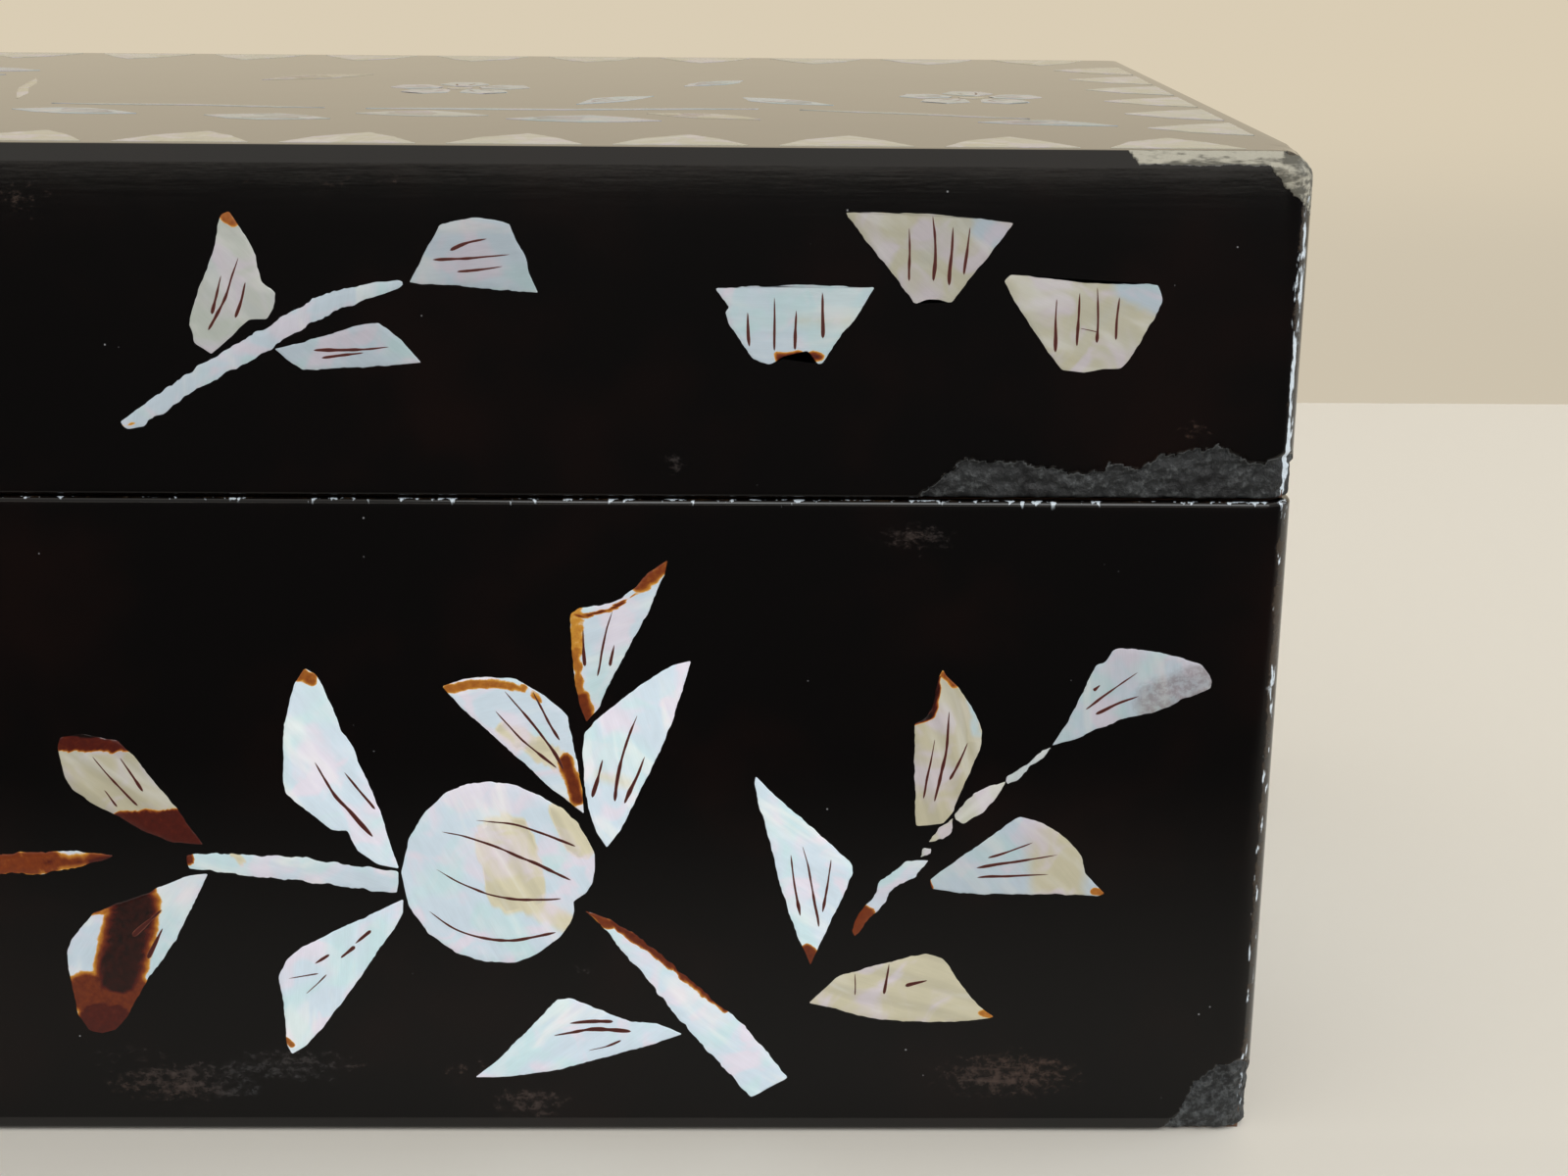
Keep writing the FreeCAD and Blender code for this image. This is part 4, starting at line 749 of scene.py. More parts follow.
def drawn_pieces():
    """Every group of shell pieces: its node, its face, its pieces, and the marks on its drawing.

    The last entry finds the places on the drawing that the face's places come from.
    """
    spray = shifted([*LEAVES[:10], *STEMS[1:3], *FRUIT], -SPRAY_MIDDLE)
    back = with_half_turn(shifted([*LEAVES[2:8], *STEMS[1:3]], BACK_SHIFT), BASE_RIM)
    fan = shifted(PETALS, -FAN_MIDDLE)
    leaves, stems, fruits = (with_half_turn(group, BASE_RIM) for group in (LEAVES, STEMS, FRUIT))
    top_leaves, top_stems = (with_half_turn(group, 0) for group in (TOP_LEAVES, TOP_STEMS))
    blossoms = sum((blossom(spot) + blossom((-spot[0], -spot[1])) for spot in BLOSSOMS), [])

    def on_front(flat):
        return np.where(flat[..., :1] < 0, (0, BASE_RIM) - flat, flat)

    def on_back(flat):
        return on_front(flat) - (BACK_SHIFT, 0)

    def on_spray(flat):
        return flat + (SPRAY_MIDDLE, 0)

    def on_fan(flat):
        return flat + (FAN_MIDDLE, 0)

    return (
        ("base_front_leaves", BASE_FRONT, leaves, BASE_MARKS, on_front),
        ("base_front_stems", BASE_FRONT, [*stems, LINK], BASE_MARKS, on_front),
        ("base_front_fruits", BASE_FRONT, fruits, BASE_MARKS, on_front),
        ("base_right_spray", BASE_RIGHT, spray, BASE_MARKS, on_spray),
        ("base_left_spray", BASE_LEFT, spray, BASE_MARKS, on_spray),
        ("base_back_sprays", BASE_BACK, back, BASE_MARKS, on_back),
        ("lid_front_leaves", LID_FRONT, with_mirror(LID_LEAVES), LID_MARKS, np.abs),
        ("lid_front_stems", LID_FRONT, with_mirror(LID_STEM), LID_MARKS, np.abs),
        ("lid_front_petals", LID_FRONT, with_mirror(PETALS), LID_MARKS, np.abs),
        ("lid_right_petals", LID_RIGHT, fan, LID_MARKS, on_fan),
        ("lid_left_petals", LID_LEFT, fan, LID_MARKS, on_fan),
        ("lid_back_petals", LID_BACK, with_mirror(PETALS), LID_MARKS, np.abs),
        ("lid_top_border", LID_FACE, border(), NO_MARKS, None),
        ("lid_top_leaves", LID_FACE, top_leaves, NO_MARKS, None),
        ("lid_top_stems", LID_FACE, [*top_stems, TOP_LINK], NO_MARKS, None),
        ("lid_top_blossoms", LID_FACE, blossoms, NO_MARKS, None),
    )


def shell_group(context, body):
    """Makes the shell pieces and the cut lines of every group on the base or the lid."""
    sizes = context.scene.inlay_box_sizes
    nacre, resin = shell_finish(context), cut_finish(context)
    for number, (node, face, pieces, spread, drawn) in enumerate(drawn_pieces()):
        if not node.startswith(body):
            continue
        plates, lines = Sheets(), Sheets()
        for index, piece in enumerate(pieces):
            seed = GROUP_SEEDS * number + PIECE_SEEDS * index
            add_plate(plates, face, piece, seed, sizes, spread, drawn)
            cuts = piece.cuts
            if not len(cuts) and piece.name.startswith(("top_leaf", "petal")):
                cuts = own_cuts(piece, seed, 3 if "leaf" in piece.name else 2)
            widths = CUT_WIDTHS.get(piece.name, (1,) * len(cuts))
            for place, cut in enumerate(cuts):
                width = widths[place] * sizes.cut_half_width
                add_cut(lines, face, cut, seed + 5 * place + 1, sizes, width)
        plates.piece(node + "_shell", body, "shell", nacre, [node])
        if lines.count:
            lines.piece(node + "_cut_lines", body, "shell", resin)


# ---------------------------------------------------------------- lacquer coats

# Half the length of a hinge's mortise, the radius of the hollow round its knuckles, and the
# slope of the bevels along the back, which is the tangent of 50 degrees.
HALF_MORTISE, HOLLOW_RADIUS, BACK_SLOPE = 13.3, 2.2, 1.1918
NO_LIMIT = -10
# The outline's points lie closer where the lacquer is chipped: along the front from here on,
# and along an end as far back as this.
CLOSE_FROM, CLOSE_DEPTH = 96, 9
# Rows of a section that lie less far in than this belong to its outer face, and with the second
# distance its arrises are counted in.
OUTER, OUTER_AND_ARRIS = 0.5, 0.6
# How far up the base's foot and down from its rim the rows lie closer.
FOOT_ROWS, RIM_ROWS = 9, 4


def coat_outline(sizes):
    """The outline seen from above, its outward directions and the way along it.

    Straight runs on four sides with a quarter circle of the corner radius between them. The way
    along it starts at the front's middle.
    """
    corner, sunk = sizes.corner_radius, sizes.coat_below_box
    long, short = HALF_WIDTH - corner, HALF_DEPTH - corner
    hinge_ends = [PIN_SPOT[0] + side * (HALF_MORTISE + slip)
                  for side in (-1, 1) for slip in (-0.01, 0.01)]
    front = np.concatenate((np.arange(-long, long, 2.0), np.linspace(CLOSE_FROM, long, 150),
                            hinge_ends, np.negative(hinge_ends), [long]))
    side = np.concatenate((np.arange(-short, short, 2.0), [short],
                           np.linspace(-short, -short + CLOSE_DEPTH, 36)))
    front, side = np.unique(np.round(front, 3)), np.unique(np.round(side, 3))
    sides = ((front, (0, -1)), (side, (1, 0)), (np.flip(front), (0, 1)), (np.flip(side), (-1, 0)))
    spots, ways = [], []
    for turn, (run, way) in enumerate(sides):
        reach = (HALF_DEPTH if way[1] else HALF_WIDTH) - sunk
        if way[1]:
            line = np.stack((run, np.full(run.size, way[1] * reach)), axis=1)
        else:
            line = np.stack((np.full(run.size, way[0] * reach), run), axis=1)
        spots.append(line)
        ways.append(np.broadcast_to(np.array(way, float), line.shape))
        angle = np.radians(-90 + 90 * turn + np.linspace(0, 90, 13)[1:-1])
        bend = np.stack((np.cos(angle), np.sin(angle)), axis=1)
        centre = np.array(((long, -short), (long, short), (-long, short), (-long, -short))[turn])
        spots.append(centre + bend * (corner - sunk))
        ways.append(bend)
    spots, ways = np.concatenate(spots), np.concatenate(ways)
    steps = np.hypot(*np.diff(spots, axis=0).T)
    way_along = np.concatenate(([0], np.cumsum(steps))) - long
    return spots, ways, way_along


def quarter(centre_in, centre_up, radius, start, end):
    """Five points of a section on an arc: distance in from the face, and height."""
    angle = np.radians(np.linspace(start, end, 5))
    along = centre_in - radius * np.cos(angle)
    return np.stack((along, centre_up + radius * np.sin(angle)), axis=1)


def upright(low, high, spacing):
    """Points of a section on its face, from one height to another."""
    rows = np.linspace(low, high, max(int(abs(high - low) / spacing), 1) + 1)
    return np.stack((0 * rows, rows), axis=1)


# A chip's upper outline: how far along the front from its middle, and height over the edge.
LID_CHIP = (
    (98.6, 0), (99.7, 0.7), (100.7, 1.5), (101.9, 2.8), (103.6, 4.0), (105.1, 3.6), (109.1, 3.4),
    (112.4, 2.8), (115.3, 2.6), (117.5, 3.6), (119.0, 3.0), (121.0, 3.6), (122.2, 4.6),
    (125.0, 5.0), (127.2, 5.3), (128.9, 4.2), (131.2, 3.8), (134.0, 4.4), (137.0, 3.4), (141.0, 0),
)
FOOT_CHIP = (
    (125.4, 0), (126.6, 1.0), (127.6, 2.6), (128.2, 4.0), (129.0, 5.6), (129.9, 6.5), (131.2, 7.4),
    (133.0, 8.0), (135.5, 7.0), (138.5, 4.0), (142.0, 0),
)
CHIP_DEPTH = 0.55
# A worn patch: its place along the outline, its height, half its width and height, its strength.
SCUFFS = (
    (26, 5.5, 12, 3.6, 0.95), (36, 7.5, 13, 3.2, 0.85), (61, 3.5, 6, 2.6, 1.0),
    (110, 6.5, 12, 3.6, 1.0), (84, 2, 8, 2, 0.4), (20, 9, 9, 3, 0.6), (66, 18, 5, 1.6, 0.6),
    (54, 7, 7, 3, 0.55), (68, 92, 6, 2.6, 0.55), (125, 75, 4, 2.4, 0.9), (75.6, 71, 2, 3.4, 0.7),
    (99, 63.5, 6, 2.2, 0.8), (17, 95, 6, 2.4, 0.7), (110, 92, 10, 2.4, 0.5),
    (128, 82, 7, 2.0, 0.5), (45, 97, 16, 1.6, 0.5), (5, 45, 14, 3, 0.35),
    (-40, 5, 20, 3, 0.7), (-90, 60, 18, 3, 0.6), (-70, 90, 14, 3, 0.6),
    (160, 5, 12, 3, 0.7), (210, 94, 18, 3, 0.6), (280, 6, 20, 3, 0.7), (340, 60, 16, 3, 0.6),
    (420, 92, 20, 3, 0.5), (470, 6, 16, 3, 0.7), (560, 5, 18, 3, 0.7), (600, 92, 16, 3, 0.5),
)


def chipped(way_along, up, outline, seed):
    """How deep inside a chip each point is, from 0 to 1: its height under the chip's outline."""
    outline = np.array(outline)
    top = np.interp(way_along, outline[:, 0], outline[:, 1], left=0, right=0)
    ragged = 0.35 * patch_noise(way_along, up, 0.7, seed)
    ragged = ragged + 0.2 * patch_noise(way_along, up, 0.3, seed + 1)
    return np.clip((top + np.where(top > 0, ragged, 0) - up) / 0.25, 0, 1) * (top > 0.05)


def scuffed(way_along, up):
    """Worn patches: the strongest of strength * (1 - square of the distance in patch sizes)."""
    scuff = np.zeros(np.broadcast(way_along, up).shape)
    for across, level, wide, high, strength in SCUFFS:
        gap = ((way_along - across) / wide) ** 2 + ((up - level) / high) ** 2
        scuff = np.maximum(scuff, strength * np.clip(1 - gap, 0, 1))
    return scuff


def coat_grid(section, outline):
    """Outline(s) - outward(s) * distance in, at the section's heights: section rows by outline."""
    spots, ways, _ = outline
    flat = spots[None] - ways[None] * section[:, :1, None]
    height = np.broadcast_to(section[:, 1:2], flat.shape[:2])
    return np.concatenate((flat, height[..., None]), axis=2)


def back_limit(grid):
    """How far from the hinge line's height the coat stays at the back.

    It is the larger of the bevel's slope * distance behind the pin and, at a hinge, the half
    chord of the hollow round the knuckles.
    """
    behind = grid[..., 1] - PIN_SPOT[1]
    room = np.where(behind > 0, behind * BACK_SLOPE, NO_LIMIT)
    hollow = np.sqrt(np.maximum(HOLLOW_RADIUS ** 2 - behind ** 2, 0))
    at_hinge = np.abs(np.abs(grid[..., 0]) - abs(PIN_SPOT[0])) < HALF_MORTISE
    return np.maximum(room, np.where(at_hinge & (hollow > 0), hollow, NO_LIMIT))


def broken(grid, ways, chip, way_along, seed):
    """Points inside a chip go in along the face's outward direction, by a rough depth."""
    rough = 0.62 + 0.3 * patch_noise(way_along, grid[..., 2], 0.8, seed)
    rough = rough + 0.2 * patch_noise(way_along, grid[..., 2], 0.35, seed + 1)
    grid[..., :2] -= ways[None] * (CHIP_DEPTH * chip * rough)[..., None]
    return grid


def make_base_coat(context):
    """The base's coat: its outline carried round a closed section, up the face and back inside."""
    sizes = context.scene.inlay_box_sizes
    outline = coat_outline(sizes)
    inside, arris = sizes.coat_thickness - sizes.coat_below_box, sizes.arris
    foot, rim = BASE_FOOT, BASE_RIM
    section = np.concatenate((
        [(inside, foot)], quarter(arris, foot + arris, arris, -90, 0),
        upright(foot + arris, FOOT_ROWS, 0.3)[1:], upright(FOOT_ROWS, rim - RIM_ROWS, 3)[1:],
        upright(rim - RIM_ROWS, rim - arris, 0.5)[1:],
        quarter(arris, rim - arris, arris, 0, 90)[1:],
        [(0.65, rim), (0.9, rim), (inside, rim), (inside, rim - 6), (inside, foot + 6)]))
    grid = coat_grid(section, outline)
    way_along = np.broadcast_to(outline[2], grid.shape[:2])
    outer = section[:, :1] < OUTER
    chip = chipped(way_along, grid[..., 2] - foot, FOOT_CHIP, 21) * outer
    grid = broken(grid, outline[1], chip, way_along, 22)
    grid[..., 2] = np.minimum(grid[..., 2], PIN_SPOT[2] - back_limit(grid))
    grid[..., 2] = np.maximum(grid[..., 2], foot)
    # The glint number places a painted highlight down the front right corner and along the rim.
    glint = np.maximum(0.56 * corner_line(section, outline), rim_line(grid, section, outline, rim))
    coat = Sheets()
    coat.add(grid * MM, looped=True, chip=chip, scuff=scuffed(way_along, section[:, 1:2]),
             edge=edge_wear(section, outline, rim), bare=0.0, glint=glint)
    coat.piece("base_lacquer", "base", "black_lacquer", lacquer_finish(context),
               ["base_lacquer_coat"])


def edge_wear(section, outline, rim):
    """1 on the corners and arrises that hands touch, falling away within a few tenths."""
    face = section[:, :1] < OUTER_AND_ARRIS
    corner = np.abs(outline[1]).min(axis=1) * 1.6
    near_rim = np.exp(-np.abs(section[:, 1:2] - rim) / 0.35) * face
    return np.clip(np.maximum(near_rim, corner[None] * face), 0, 1)


def corner_line(section, outline):
    """Where the painted glint goes: 1 along the front right corner's outer edge, falling away on
    both sides of it.
    """
    angle = np.degrees(np.arctan2(outline[1][:, 0], -outline[1][:, 1]))
    return np.exp(-((angle[None] - 44) / 14) ** 2) * (section[:, :1] < OUTER)


def rim_line(grid, section, outline, rim):
    """Where the painted glint runs along the arris of a rim on the front, brighter to the right and
    most near the corner.
    """
    face, across = section[:, :1] < OUTER_AND_ARRIS, grid[..., 0]
    level = np.exp(-np.abs(section[:, 1:2] - rim) / 0.45) * face
    bright = 0.44 + 0.2 * np.clip(across / 90, 0, 1) + 0.36 * np.exp(-((across - 131) / 3.5) ** 2)
    return level * (outline[1][None, :, 1] < -0.4) * bright


# Where the bare stretch of the lid's front bevel starts and ends, from the front's middle.
BARE_FROM, BARE_TO = 117.3, 132.2


def bared(grid, top, bevel):
    """1 where the ground shows along the worn stretch of the lid's front bevel."""
    level = np.clip((grid[..., 2] - top + 0.85 * bevel) / 0.35, 0, 1)
    left_end = BARE_FROM + 0.7 * (top - grid[..., 2])
    along = np.clip((grid[..., 0] - left_end) / 0.4, 0, 1)
    along = along * np.clip((BARE_TO - grid[..., 0]) / 0.5, 0, 1)
    return level * along * (grid[..., 1] < 1.1 * bevel - HALF_DEPTH)


def corner_bared(grid):
    """How bare the lid's front right corner is.

    Distance in from the side + distance below the top stays under a limit, and the bareness
    fades with the distance back from the front: a patch at the corner, a line along the edge.
    """
    aside, below = HALF_WIDTH - grid[..., 0], LID_TOP - grid[..., 2]
    back = grid[..., 1] + HALF_DEPTH
    ragged = 0.25 * patch_noise(grid[..., 0] + grid[..., 1], grid[..., 2], 0.8, 41)
    corner = np.clip((6.5 - aside - below + ragged) / 0.5, 0, 1) * np.clip((3.4 - back) / 1.2, 0, 1)
    along = np.clip((2.4 - aside - below + ragged) / 0.5, 0, 1) * np.clip((20 - back) / 8, 0, 1)
    return np.maximum(0.72 * corner, 0.62 * along) * np.clip((below - 0.08) / 0.2, 0, 1)


# How far back the lid's right edge is worn round, and how large a radius it has at the front
# beside that of the corner's ball.
WORN_LENGTH, EDGE_TO_BALL = 18, 1.33


def rounded_corner(grid, radius):
    """Wears the lid's front right corner round: points past a curve go back onto it.

    First a cylinder along the right edge, whose radius falls to nothing on its worn length, then
    a ball at the corner itself.
    """
    share = np.clip((grid[..., 1] + HALF_DEPTH) / WORN_LENGTH, 0, 1)
    round_edge = np.maximum(EDGE_TO_BALL * radius * (1 - eased(share)), 0.01)
    aside, above = grid[..., 0] - HALF_WIDTH + round_edge, grid[..., 2] - LID_TOP + round_edge
    gap = np.hypot(aside, above)
    past = (aside > 0) & (above > 0) & (gap > round_edge)
    back = np.where(past, round_edge / np.maximum(gap, 1e-9), 1)
    grid[..., 0] = grid[..., 0] + aside * (back - 1)
    grid[..., 2] = grid[..., 2] + above * (back - 1)
    centre = np.array((HALF_WIDTH - radius, radius - HALF_DEPTH, LID_TOP - radius))
    reach = (grid - centre) * (1, -1, 1)
    past = (reach > 0).all(axis=2) & (np.linalg.norm(reach, axis=2) > radius)
    rough = 0.985 + 0.008 * patch_noise(grid[..., 0], grid[..., 1], 0.8, 5)
    worn = centre + unit(grid - centre) * radius * rough[..., None]
    return np.where(past[..., None], worn, grid)


# Above this height the lid's coat is clear of the back bevel and the hinge hollows.
BACK_LIMIT_TOP = 90
# Rows from the lid's edges to the line along its middle, as shares of the way there.
ROOF_SHARES = np.array((0.012, 0.03, 0.06, 0.12, 0.2, 0.3, 0.45, 0.6, 0.8, 1.0))[:, None, None]


def make_lid_coat(context):
    """The lid's coat: its outline carried up a section, with both ends drawn in to a line."""
    sizes = context.scene.inlay_box_sizes
    outline = coat_outline(sizes)
    inside, arris = sizes.coat_thickness - sizes.coat_below_box, sizes.arris
    rim, top, bevel = LID_RIM, LID_TOP - sizes.coat_below_box, sizes.top_bevel
    ceiling = LID_TOP - sizes.coat_thickness
    within = [(inside, ceiling), (inside, top - 12), (inside, rim + 6), (inside, rim), (0.7, rim)]
    edge = bevel * np.array(((0, -1.0), (0.33, -0.67), (0.67, -0.33), (0.98, -0.02), (1.3, 0)))
    section = np.concatenate((
        within, quarter(arris, rim + arris, arris, -90, 0),
        upright(rim + arris, rim + 6.4, 0.25)[1:], upright(rim + 6.4, top - 6, 3)[1:],
        upright(top - 6, top - 1.1 * bevel, 0.3)[1:], edge + (0, top)))
    grid = coat_grid(section, outline)
    way_along = np.broadcast_to(outline[2], grid.shape[:2])
    chip = chipped(way_along, grid[..., 2] - rim, LID_CHIP, 31) * (section[:, :1] < OUTER)
    grid = broken(grid, outline[1], chip, way_along, 32)
    wear = np.maximum(*(edge_wear(section, outline, height) for height in (rim, top - bevel / 2)))
    scuff = scuffed(way_along, section[:, 1:2])
    bare = np.maximum(bared(grid, top, bevel), corner_bared(grid))
    # The glint number places a painted highlight down the front right corner.
    glint = corner_line(section, outline) * (grid[..., 2] < top - 4)
    limit = back_limit(grid) * (grid[..., 2] < BACK_LIMIT_TOP)
    grid[..., 2] = np.maximum(grid[..., 2], PIN_SPOT[2] + limit)
    across = np.clip(outline[0][:, 0], -HALF_WIDTH + HALF_DEPTH, HALF_WIDTH - HALF_DEPTH)
    middle = np.stack((across, np.zeros(len(across))), axis=1)
    flat = grid[-1, None, :, :2] * (1 - ROOF_SHARES) + middle[None] * ROOF_SHARES
    above, under = (np.concatenate((rows, np.full((*flat.shape[:2], 1), height)), axis=2)
                    for rows, height in ((flat, top), (flat[::-1], ceiling)))
    inner = grid[0, None, :, :2]
    under[..., :2] = np.where(np.abs(under[..., :2]) > np.abs(inner), inner, under[..., :2])
    outside = rounded_corner(np.concatenate((grid[len(within):], above)), sizes.worn_corner)

    def carried(number, over=0.0):
        """A number on the section's rows, with 0 on the ceiling's rows and another on the top's."""
        size = (len(ROOF_SHARES), number.shape[1])
        return np.concatenate((np.zeros(size), number, np.full(size, over)))

    coat = Sheets()
    coat.add(np.concatenate((under, grid[:len(within)], outside)) * MM, chip=carried(chip),
             scuff=carried(scuff, 0.18), edge=carried(wear), bare=carried(bare),
             glint=carried(glint))
    coat.piece("lid_lacquer", "lid", "black_lacquer", lacquer_finish(context),
               ["lid_lacquer_coat"])


# ---------------------------------------------------------------- finishes

class Value:
    """A socket in a finish's nodes; sums and products written with it add Math nodes."""

    def __init__(self, finish, socket):
        self.finish, self.socket = finish, socket

    def math(self, operation, first, second):
        return self.finish.node("ShaderNodeMath", {"operation": operation}, {0: first, 1: second})

    def __add__(self, other):
        return self.math("ADD", self, other)

    def __mul__(self, other):
        return self.math("MULTIPLY", self, other)

    def __sub__(self, other):
        return self.math("SUBTRACT", self, other)

    def __rsub__(self, other):
        return self.math("SUBTRACT", other, self)

    __radd__, __rmul__ = __add__, __mul__

    def between(self, low, high):
        """0 below low, 1 above high, and an even curve from one to the other."""
        return self.finish.node("ShaderNodeMapRange", {"interpolation_type": "SMOOTHSTEP"},
                                {0: self, 1: low, 2: high, 3: 0.0, 4: 1.0})


class Finish:
    """A material while its nodes are being written."""

    def __init__(self, name):
        self.material = bpy.data.materials.new(name)
        self.material.use_nodes = True
        self.tree = self.material.node_tree
        self.tree.nodes.clear()

    def node(self, kind, settings=None, sockets=None, result=0):
        """One node: its settings first, then what its sockets are given, and one of its outputs."""
        made = self.tree.nodes.new(kind)
        for key, setting in (settings or {}).items():
            if key == "stops":
                while len(made.color_ramp.elements) < len(setting):
                    made.color_ramp.elements.new(0.5)
                for stop, (place, colour) in zip(made.color_ramp.elements, setting):
                    stop.position, stop.color = place, (*colour, 1)
            else:
                setattr(made, key, setting)
        for key, given in (sockets or {}).items():
            if isinstance(given, Value):
                self.tree.links.new(given.socket, made.inputs[key])
            else:
                made.inputs[key].default_value = given
        return Value(self, made.outputs[result]) if len(made.outputs) else None

    def place(self):
        """Where a point is in the box's frame, in metres."""
        return self.node("ShaderNodeTexCoord", result="Object")

    def drawing(self):
        """Where a point of a shell piece is on its own slice of shell, in millimetres."""
        return self.node("ShaderNodeUVMap", {"uv_map": "UVMap"})

    def number(self, name):
        """A number kept on the mesh's points."""
        return self.node("ShaderNodeAttribute", {"attribute_name": name}, result="Fac")

    def part(self, vector, axis):
        return self.node("ShaderNodeSeparateXYZ", None, {0: vector}, axis)

    def stretched(self, vector, factors):
        return self.node("ShaderNodeVectorMath", {"operation": "MULTIPLY"}, {0: vector, 1: factors})

    def slid(self, vector, distance):
        return self.node("ShaderNodeVectorMath", {"operation": "ADD"}, {0: vector, 1: distance})

    def scaled(self, vector, factor):
        return self.node("ShaderNodeVectorMath", {"operation": "SCALE"},
                         {0: vector, "Scale": factor})

    def noise(self, vector, scale, detail=2.0, roughness=0.5, distortion=0.0):
        return self.node("ShaderNodeTexNoise", None, {
            "Vector": vector, "Scale": scale, "Detail": detail, "Roughness": roughness,
            "Distortion": distortion})

    def cells(self, vector, scale):
        return self.node("ShaderNodeTexVoronoi", None, {"Vector": vector, "Scale": scale})

    def bands(self, vector, scale, distortion, detail, detail_scale):
        return self.node("ShaderNodeTexWave", {"wave_type": "BANDS"}, {
            "Vector": vector, "Scale": scale, "Distortion": distortion, "Detail": detail,
            "Detail Scale": detail_scale}, "Fac")

    def mix(self, mask, first, second):
        """The first colour where the mask is 0 and the second where it is 1."""
        first, second = (colour if isinstance(colour, Value) else (*colour, 1.0)
                         for colour in (first, second))
        return self.node("ShaderNodeMix", {"data_type": "RGBA", "blend_type": "MIX"},
                         {0: mask, 6: first, 7: second}, 2)

    def ramp(self, value, stops):
        return self.node("ShaderNodeValToRGB", {"stops": stops}, {0: value})

    def bump(self, height, strength, distance, **over):
        return self.node("ShaderNodeBump", None, {
            "Height": height, "Strength": strength, "Distance": distance, **over})

    def shader(self, **sockets):
        named = {key.replace("_", " "): given for key, given in sockets.items()}
        return self.node("ShaderNodeBsdfPrincipled", None, named)

    def output(self, shader):
        self.node("ShaderNodeOutputMaterial", None, {"Surface": shader})
        return self.material

    def surface(self, **sockets):
        return self.output(self.shader(**sockets))


def once(make):
    """The finish is made the first time it is asked for and shared after that."""
    made = {}

    def finish(context, *choice):
        if choice not in made:
            made[choice] = make(context.scene.inlay_box_colours, *choice)
        return made[choice]
    return finish


@once
def lacquer_finish(colours):
    """Near black lacquer: brown clouding, scuffs, grey chips, bare ground, painted glints and dust.
    """
    finish = Finish("black_lacquer_worn")
    place = finish.place()
    chip, scuff, edge = (finish.number(name) for name in ("chip", "scuff", "edge"))
    bare, glint = finish.number("bare"), finish.number("glint")
    cloud = finish.noise(place, 55.0, 3.0, 0.55)
    streak = finish.noise(finish.stretched(place, (70.0, 70.0, 800.0)), 1.0, 4.0, 0.6)
    speck = finish.noise(place, 900.0, 3.0, 0.65)
    base = finish.mix(cloud.between(0.45, 0.75), colours.lacquer, colours.lacquer_brown)

    mottle = finish.noise(finish.stretched(place, (900.0, 900.0, 1300.0)), 1.0, 4.0, 0.7)
    rubbed = (scuff * 0.8 + (streak - 0.5) * 0.7 + (mottle - 0.5) * 2.2).between(0.45, 1.25)
    rubbed = rubbed * scuff.between(0.05, 0.6)
    patches = finish.noise(place, 35.0).between(0.42, 0.6)
    scuffs = finish.mix(patches, colours.scuff_brown, colours.scuff_grey)
    base = finish.mix(rubbed * 0.9, base, scuffs)
    worn = (edge * (speck + cloud * 0.5)).between(0.66, 0.86)
    base = finish.mix(worn * 0.25, base, colours.edge_wear)

    ground = finish.noise(place, 1500.0, 4.0, 0.65)
    broken = finish.mix(ground.between(0.48, 0.76), colours.chip, colours.chip_light)
    hollows = finish.noise(place, 300.0, 3.0).between(0.44, 0.62)
    broken = finish.mix(hollows * 0.85, broken, colours.chip_dark)
    rim = chip.between(0.02, 0.25) * (1.0 - chip.between(0.6, 1.0))
    broken = finish.mix(rim * 0.7, broken, colours.chip_light)
    at_foot = 1.0 - finish.part(place, "Z").between(0.01, 0.016)
    broken = finish.mix(at_foot * ground.between(0.4, 0.6) * 0.45, broken, colours.chip_light)
    flaw = (chip + (speck - 0.5) * 0.4).between(0.35, 0.6)
    base = finish.mix(flaw, base, broken)

    ragged = finish.noise(place, 1100.0, 3.0, 0.6)
    laid = (bare + (ragged - 0.5) * 0.7).between(0.4, 0.56)
    grain = finish.noise(finish.stretched(place, (500.0, 1500.0, 1500.0)), 1.0, 3.0, 0.6)
    clean = (grain + (bare - 1.0) * 0.8).between(0.2, 0.46)
    pale = finish.mix(clean, colours.bare_dark, colours.bare)
    base = finish.mix(laid, base, pale)

    # Painted highlight: broken bluish white streaks where the glint number is high, in place of the
    # window's reflection on the corners and rim.
    streaked = finish.noise(finish.stretched(place, (1400.0, 1400.0, 380.0)), 1.0, 2.0)
    sparkle = (glint * 0.9 + (streaked - 0.5) * 2.8 + (speck - 0.5) * 0.8).between(0.66, 0.9)
    base = finish.mix(sparkle * glint.between(0.1, 0.4), base, colours.glint)
    mote = 1.0 - finish.cells(place, 620.0).between(0.04, 0.08)
    mote = mote * finish.noise(finish.slid(place, (3.0, 7.0, 1.0)), 210.0, 1.0).between(0.68, 0.7)
    base = finish.mix(mote * 0.6, base, colours.dust)

    hair = finish.noise(finish.stretched(place, (60.0, 60.0, 5200.0)), 1.0, 2.0)
    roughness = (0.035 + 0.03 * cloud + 0.03 * hair + 0.2 * rubbed + 0.3 * worn
                 + 0.5 * flaw + 0.5 * laid + 0.3 * mote)
    smooth = finish.bump(cloud * 0.12 + speck * 0.01 + streak * 0.02, 0.2, 0.0006)
    pitted = finish.bump(ground * (flaw + 0.5 * laid), 0.8, 0.0003, Normal=smooth)
    return finish.surface(Base_Color=base, Roughness=roughness, Normal=pitted, IOR=1.5)


